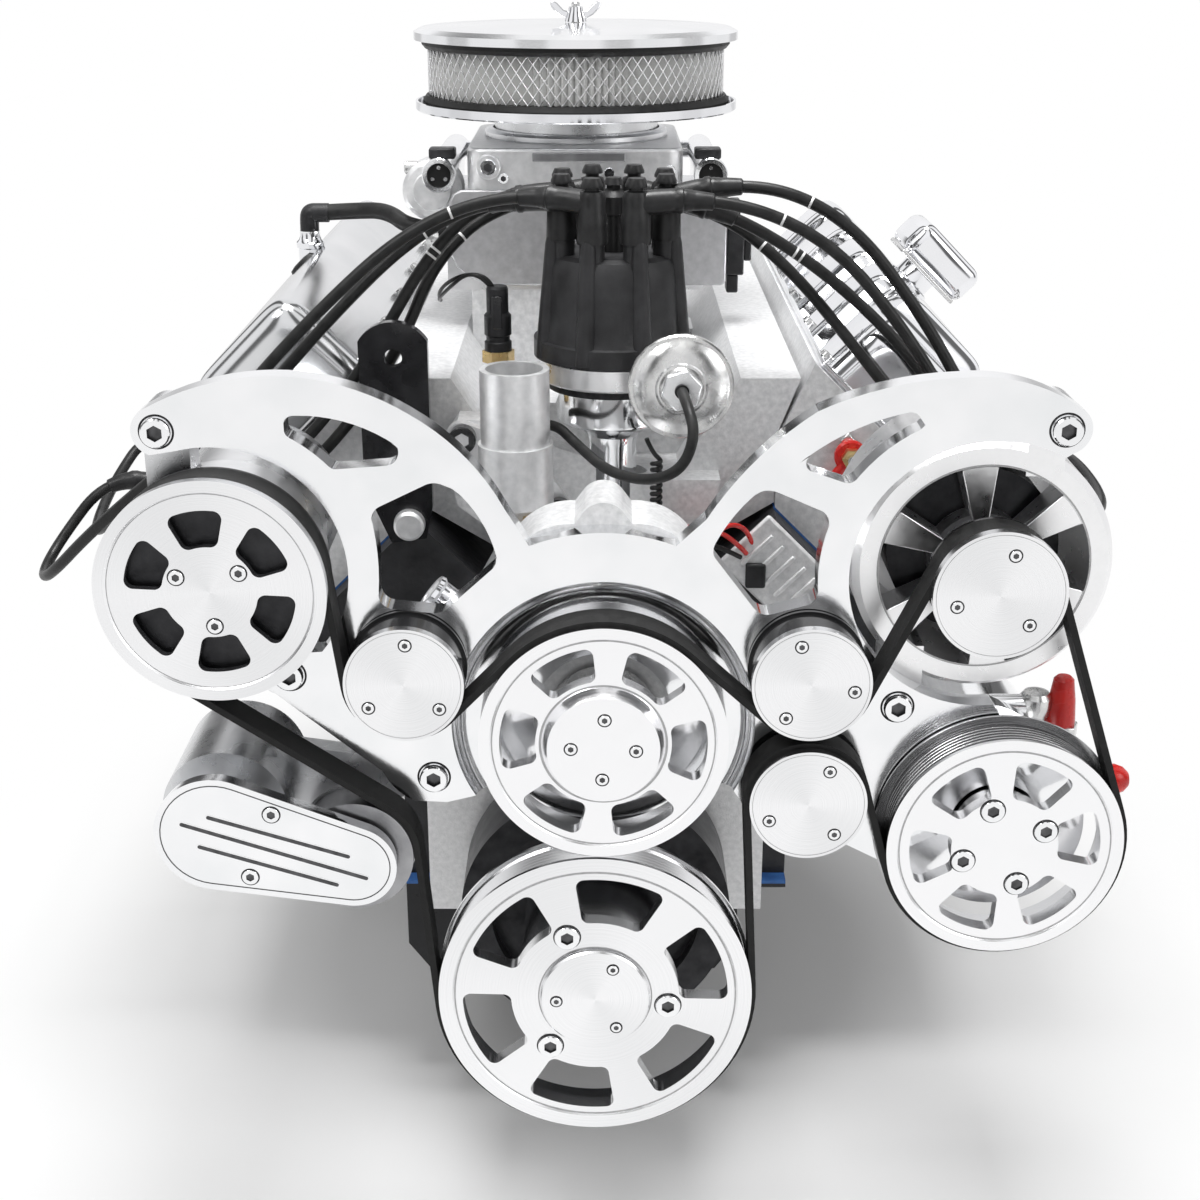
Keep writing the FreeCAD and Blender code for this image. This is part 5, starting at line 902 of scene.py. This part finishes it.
def add_pcv():
    """The elbow on the left cover, on its valve and grommet."""
    x, forward = -230, 300
    elbow = tube("pcv_bend", [(x, forward, 384), (x, forward, 398), (x + 1, forward, 404), (x + 8, forward, 404),
                              (x + 16, forward, 404)], 7.6, BLACK_PLASTIC)
    put([
        elbow,
        lathe("pcv_grommet", [(0, 0), (15, 0), (15.6, 2), (14, 6), (9, 7), (0, 7)], HOSE, -232.6, forward, 362.5,
              leaning(-45), 48),
        upright("pcv_valve", [(0, 362), (9.6, 366), (9.6, 376), (11, 377), (11, 381), (9, 383), (8, 386), (8, 390),
                (0, 390)], COVER_CHROME, (x, forward), 40),
    ], "engine", "pcv_elbow")


# Covers and small pieces on the heads

# Heights along the bores of the covers' foot and top, and the power of their section's rounded square
COVER_FOOT = 350.0
COVER_TOP = 424.5
COVER_POWER = 2 / 7


def bank_block(name, side, alongs, acrosses, forwards, material, edge=0.8, segments=2):
    """A block square to one cylinder bank."""
    vertices = []
    for forward in forwards:
        for along, across in ((alongs[0], acrosses[0]), (alongs[1], acrosses[0]), (alongs[1], acrosses[1]),
                              (alongs[0], acrosses[1])):
            x, z = bank(side, along, across)
            vertices.append(spot(x, forward, z))
    faces = [(3, 2, 1, 0), (4, 5, 6, 7), (0, 1, 5, 4), (1, 2, 6, 5), (2, 3, 7, 6), (3, 0, 4, 7)]
    if side < 0:
        faces = [face[::-1] for face in faces]
    return soften(mesh_piece(name, vertices, faces, material, 60), edge, segments)


def cover_shell(name, side, shape, material, round_end=15.0):
    """A pressed cover: shape(forward) gives how far its inboard wall and its top draw in there."""
    low, high, rear, front = 18.0, 122.0, 40.0, 536.0
    steps, middle = 40, 110
    ends = [(round_end * (1 - math.sin(turn)), round_end * (1 - math.cos(turn)))
            for turn in (math.radians(15 * step) for step in range(6, -1, -1))]
    rows = [(rear + inset, draw) for inset, draw in ends]
    rows += [(rear + round_end + (front - rear - 2 * round_end) * step / middle, 0.0) for step in range(1, middle)]
    rows += [(front - inset, draw) for inset, draw in ends[::-1]]
    vertices = []
    for forward, draw in rows:
        wall, drop = shape(forward)
        left, right, top = low + draw, high - draw - wall, COVER_TOP - draw - drop
        centre, half = (left + right) / 2, (right - left) / 2
        for step in range(steps + 1):
            angle = math.pi * step / steps
            across = centre + half * math.copysign(abs(math.cos(angle)) ** COVER_POWER, math.cos(angle))
            along = COVER_FOOT + (top - COVER_FOOT) * abs(math.sin(angle)) ** COVER_POWER
            x, z = bank(side, along, across)
            vertices.append(spot(x, forward, z))
    width = steps + 1
    faces = [(row * width + step, row * width + step + 1, (row + 1) * width + step + 1, (row + 1) * width + step)
             for row in range(len(rows) - 1) for step in range(steps)]
    faces += [tuple(range(width))[::-1], tuple(range((len(rows) - 1) * width, len(rows) * width))]
    if side > 0:
        faces = [face[::-1] for face in faces]
    return mesh_piece(name, vertices, faces, material, 50)


def ease(value, start, end):
    """Rises smoothly from 0 at start to 1 at end."""
    share = max(0.0, min(1.0, (value - start) / (end - start)))
    return share * share * (3 - 2 * share)


def plain_cover(forward):
    """The same section all along."""
    return 0.0, 0.0


def pressed_cover(forward):
    """Four pockets beside the plugs' bosses, and a lower front end."""
    wall = max(15 * ease(28 - abs(forward - centre), 0, 12) for centre in (120, 235, 350, 452))
    return wall, 20 * ease(forward, 470, 490)


def add_covers():
    """Both valve covers with their flanges and screws, and the breather on the right one."""
    for side, shape, material in ((-1, plain_cover, COVER_SATIN), (1, pressed_cover, COVER_CHROME)):
        hand = HANDS[side]
        put([
            cover_shell("cover_shell_" + hand, side, shape, material),
            bank_block("cover_flange_" + hand, side, (346.6, 351.4), (12.2, 127.8), (38.2, 537.8), material, 1.5),
        ], "engine", "valve_cover_" + hand)
        x, z = bank(side, 351.4, 124.6)
        put([socket_screw("cover_screw_%s_%d" % (hand, step), x, 60 + 114 * step, z, 4.6, 4, STEEL, leaning(45 * side))
             for step in range(5)], "engine")
    seat_x, seat_z = bank(1, COVER_TOP - 1, 75)
    put([
        bank_block("breather_head", 1, (439.4, 469), (43, 107), (298, 362), COVER_CHROME, 9, 5),
        bank_block("breather_rim", 1, (437.6, 441), (46, 104), (301, 359), STEEL, 1.2, 3),
        lathe("breather_neck", [(15, 0), (19, 0), (19, 3), (16, 4), (15.4, 6), (15.4, 14), (0, 14)], COVER_CHROME,
              seat_x, 330, seat_z, leaning(45), 48),
    ], "engine", "breather_cap")


def add_alternator_spokes():
    """Six bright spokes over the alternator's cone, from its hub ring to its rim."""
    inner, outer, face, slope = 27, 62.2, 751, 0.1
    pieces = [lathe("alternator_hub", [(22, -3), (22, 0), (28.5, 0.6), (28.5, -3)], HOUSING, ALTERNATOR[0], 750.4,
                    ALTERNATOR[1])]
    for step in range(6):
        middle = 36 + 60 * step
        corners = [(inner, middle + turn) for turn in (-10, -5, 0, 5, 10)]
        corners += [(outer, middle + turn) for turn in (10, 5, 0, -5, -10)]
        count = len(corners)
        vertices = []
        for back in (3.0, 0.0):
            for reach, angle in corners:
                x, z = around(ALTERNATOR, reach, angle)
                vertices.append(spot(x, face + slope * (reach - inner) - back, z))
        faces = [tuple(range(count))[::-1], tuple(range(count, 2 * count))] + wall_faces(count)
        pieces.append(soften(mesh_piece("alternator_spoke_%d" % step, vertices, faces, HOUSING), 0.7))
    put(pieces, "engine")


def add_port_caps():
    """The steering pump's fitting, with an upright red cap, and a round one on its lower pipe."""
    x, forward = 303, 683.9
    put([
        upright("port_cap_upper", [(0, 133), (9.4, 133), (9.6, 136), (8.6, 150), (6.6, 164), (4.6, 166), (0, 166.4)],
                RED_CAP, (x, forward), 40),
        soften(hexagon("port_fitting", 12.4, 8, 124, 9, STEEL, place_at(x, forward, 0, UPWARD)), 0.8),
        upright("port_elbow", [(0, 156), (8, 155), (10.4, 152), (10.4, 146), (9, 139), (7.6, 136), (0, 136)], STEEL,
                (x - 17, forward), 40),
        lathe("port_cap_lower", [(0, -4), (9.6, -4), (10.4, 0), (10.2, 5), (8.4, 10), (5, 13.4), (0, 14.6)], RED_CAP,
              338, forward, 92, leaning(90), 40),
    ], "engine", "port_caps")


def add_harness():
    """Small electrical parts behind the bracket, the front bolts and the hose nipple."""
    x, z, forward = 175.8, 277.1, 556
    pieces = [
        lathe("terminal_stud", [(0, -8), (3.4, -8), (3.4, 16), (0, 16)], STEEL, x, forward, z, FRONTWARD, 24),
        hexagon("terminal_nut", 7, 0, 5, 6, BRASS, place_at(x, forward, z)),
        lathe("terminal_ring", [(3.6, 0), (10, 0), (11.4, 1.6), (11.4, 4), (10, 5), (3.6, 5)], RED_CAP, x, forward, z,
              FRONTWARD, 40),
        tube("terminal_lead", [(x - 5, forward + 3, z - 7), (x - 10, forward + 3, z - 13), (x - 13, forward, z - 20)],
             3.6, RED_CAP),
        bank_block("terminal_clip", 1, (322, 330), (64, 84), (549, 556), STEEL, 1),
    ]
    coil = [(*around((41, 590), 3.4, 68 * step), 283 - 36 * step / 45) for step in range(46)]
    pieces.append(tube("coiled_lead", [(34, 596, 300), (38, 594, 290), *coil, (46, 588, 240)], 1.6, WIRE))
    leads = [
        ("black_lead", WIRE, [(46, 588, 240), (56, 590, 232), (70, 594, 226), (86, 592, 222), (100, 584, 212)]),
        ("red_lead_1", RED_CAP, [(44, 589, 244), (58, 594, 238), (74, 597, 236), (90, 592, 232), (104, 582, 214)]),
        ("red_lead_2", RED_CAP, [(44, 587, 241), (60, 592, 233), (78, 595, 231), (94, 590, 240), (108, 578, 226),
                                 (112, 572, 204)]),
    ]
    pieces += [tube(name, points, 1.7, material) for name, material, points in leads]
    connectors = [((98, 562, 184), (124, 576, 200)), ((104, 574, 188), (118, 582, 206)),
                  ((38, 582, 236), (54, 594, 246))]
    pieces += [part_box("lead_connector_%d" % index, low, high, BLACK_PLASTIC, 1.6)
               for index, (low, high) in enumerate(connectors)]
    pieces += [
        socket_screw("outlet_screw_left", -90, 575, 295, 9.4, 9, BLACK_GLOSS),
        socket_screw("outlet_screw_right", -25, 575, 245, 8, 8, BLACK_GLOSS),
        hexagon("drain_plug", 6.4, 12, 0, 14, BRASS, place_at(-46, 566, 231)),
        lathe("drain_plug_slot", [(0, 0), (4.4, 0), (4.4, 2), (0, 2)], BRASS, -46, 580, 231, FRONTWARD, 32),
        lathe("lifting_bolt_head", [(0, 0), (10.4, 0), (10.8, 1), (10.4, 7), (8.6, 9), (0, 9.6)], CAST_BRIGHT,
              -127.2, 583.2, 236.5, FRONTWARD, 40),
        lathe("nipple_tube", [
            (10.2, 4), (10.6, 5), (10.6, 38), (12.2, 40), (12.2, 42), (10.6, 44), (10.6, 52), (12, 54), (11.4, 56.6),
            (8, 56.6), (8, 46)], COVER_CHROME, -56, 731, 206, leaning(-50), 48),
        bank_block("end_plate", 1, (206, 254.6), (14, 86), (574.6, 578.6), CAST, 2),
    ]
    for step in range(5):
        across = 28 + 11 * step
        pieces.append(bank_block("end_fin_%d" % step, 1, (216, 246), (across, across + 3), (578, 580.6), CAST, 0.8))
    put(pieces, "engine")


# Studio

# The floor glows a little near the engine and fully beyond these distances in metres
FLOOR_GLOW = 0.04
FLOOR_FADE = (0.3, 0.7)
FLOOR_REACH = 6
FLOOR_GAP = 0.0005

# What lights dull surfaces, and the bands that metal shows, as (height from 0 to 1, grey)
DIFFUSE_SKY = 0.34
SKY_ENDS = (0.45, 0.95)
SKY_BANDS = [(0.4, 0.8), (0.5, 0.9), (0.7, 1.0)]

# Name, place, target, width and power
LAMPS = [
    ("key", (-1.2, -1.7, 2.2), (0, -0.5, 0.15), 0.9, 18),
    ("fill", (1.9, -1.6, 1.3), (0, -0.4, 0.15), 1.0, 8),
    ("top", (0.0, -0.5, 2.2), (0, -0.5, 0.2), 0.8, 54),
]

# The camera that was solved from the photo
CAMERA_LENS = 53.37
CAMERA_SENSOR = 36
CAMERA_PLACE = (0.003, -1.7405, 0.621)
CAMERA_TILT = 69.15


def add_floor():
    """A white floor that keeps the engine's shadow."""
    low = min(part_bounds(name)[0][2] for name in NODES) - FLOOR_GAP
    material, tree, shader = new_material("floor_white")
    link = tree.links.new
    shader.inputs["Base Color"].default_value = (0.8, 0.8, 0.8, 1)
    shader.inputs["Roughness"].default_value = 0.75
    glow = tree.nodes.new("ShaderNodeEmission")
    mixed = tree.nodes.new("ShaderNodeMixShader")
    seen = tree.nodes.new("ShaderNodeLightPath")
    place = tree.nodes.new("ShaderNodeTexCoord")
    offset = vector_math(tree, "SUBTRACT", place.outputs["Object"], (0, -0.4, 0))
    far = spread(tree, vector_math(tree, "LENGTH", offset, output="Value"), FLOOR_GLOW, 1.0, *FLOOR_FADE)
    clear = scalar(tree, "MULTIPLY_ADD", seen.outputs["Is Glossy Ray"], 0.9, seen.outputs["Is Camera Ray"])
    link(scalar(tree, "MULTIPLY", far, clear), mixed.inputs["Fac"])
    link(shader.outputs["BSDF"], mixed.inputs[1])
    link(glow.outputs["Emission"], mixed.inputs[2])
    link(mixed.outputs["Shader"], tree.nodes["Material Output"].inputs["Surface"])
    corners = [Vector((x * FLOOR_REACH, y * FLOOR_REACH, low)) for x, y in ((-1, -1), (1, -1), (1, 1), (-1, 1))]
    mesh_piece("floor", corners, [(0, 1, 2, 3)], material)


def add_sky():
    """A white backdrop, with softer grey bands and dark flags for metal to show."""
    world = bpy.data.worlds.new("studio")
    world.use_nodes = True
    bpy.context.scene.world = world
    tree = world.node_tree
    link = tree.links.new
    background = tree.nodes["Background"]
    parts = split(tree, tree.nodes.new("ShaderNodeTexCoord").outputs["Generated"])
    bands = tree.nodes.new("ShaderNodeValToRGB")
    link(scalar(tree, "MULTIPLY_ADD", parts["Z"], 0.5, 0.5), bands.inputs["Fac"])
    ramp = bands.color_ramp
    ramp.interpolation = "EASE"
    for element, position, level in zip(ramp.elements, (0.0, 1.0), SKY_ENDS):
        element.position, element.color = position, (level, level, level, 1)
    for position, level in SKY_BANDS:
        ramp.elements.new(position).color = (level, level, level * 1.01, 1)
    round_turn = scalar(tree, "ARCTAN2", parts["X"], parts["Y"])
    stripes = scalar(tree, "SINE", scalar(tree, "MULTIPLY_ADD", round_turn, 6.0, -1.57))
    raised = spread(tree, parts["Z"], 0, 1, -0.12, 0.05)
    flags = scalar(tree, "SUBTRACT", 1.0, scalar(tree, "MULTIPLY", spread(tree, stripes, 0, 0.85, 0.2, 0.7), raised))
    shaded = tree.nodes.new("ShaderNodeVectorMath")
    shaded.operation = "SCALE"
    link(bands.outputs["Color"], shaded.inputs[0])
    link(flags, shaded.inputs["Scale"])
    seen = tree.nodes.new("ShaderNodeLightPath").outputs
    sky = tint(tree, seen["Is Glossy Ray"], (DIFFUSE_SKY,) * 3, shaded.outputs["Vector"])
    clear = scalar(tree, "MAXIMUM", seen["Is Camera Ray"], seen["Is Transmission Ray"])
    link(tint(tree, clear, sky, (1, 1, 1)), background.inputs["Color"])
    background.inputs["Strength"].default_value = 1.0


def add_lamps():
    for name, place, target, width, power in LAMPS:
        light = bpy.data.lights.new(name, "AREA")
        light.shape = "SQUARE"
        light.size = width
        light.energy = power
        lamp = bpy.data.objects.new(name, light)
        lamp.location = place
        lamp.rotation_euler = (Vector(target) - Vector(place)).to_track_quat("-Z", "Y").to_euler()
        bpy.context.scene.collection.objects.link(lamp)


def add_camera():
    camera = bpy.data.cameras.new("camera")
    camera.lens = CAMERA_LENS
    camera.sensor_width = CAMERA_SENSOR
    view = bpy.data.objects.new("camera", camera)
    view.location = CAMERA_PLACE
    view.rotation_euler = (math.radians(CAMERA_TILT), 0, 0)
    bpy.context.scene.collection.objects.link(view)
    bpy.context.scene.camera = view
    bpy.context.scene.view_settings.view_transform = "Standard"


finish_nodes()
add_screws()
add_face_details()
add_window_corners()
add_wires()
add_air_cleaner()
add_distributor()
add_sensor()
add_throttle()
add_pcv()
add_covers()
add_alternator_spokes()
add_port_caps()
add_harness()
add_floor()
add_sky()
add_lamps()
add_camera()
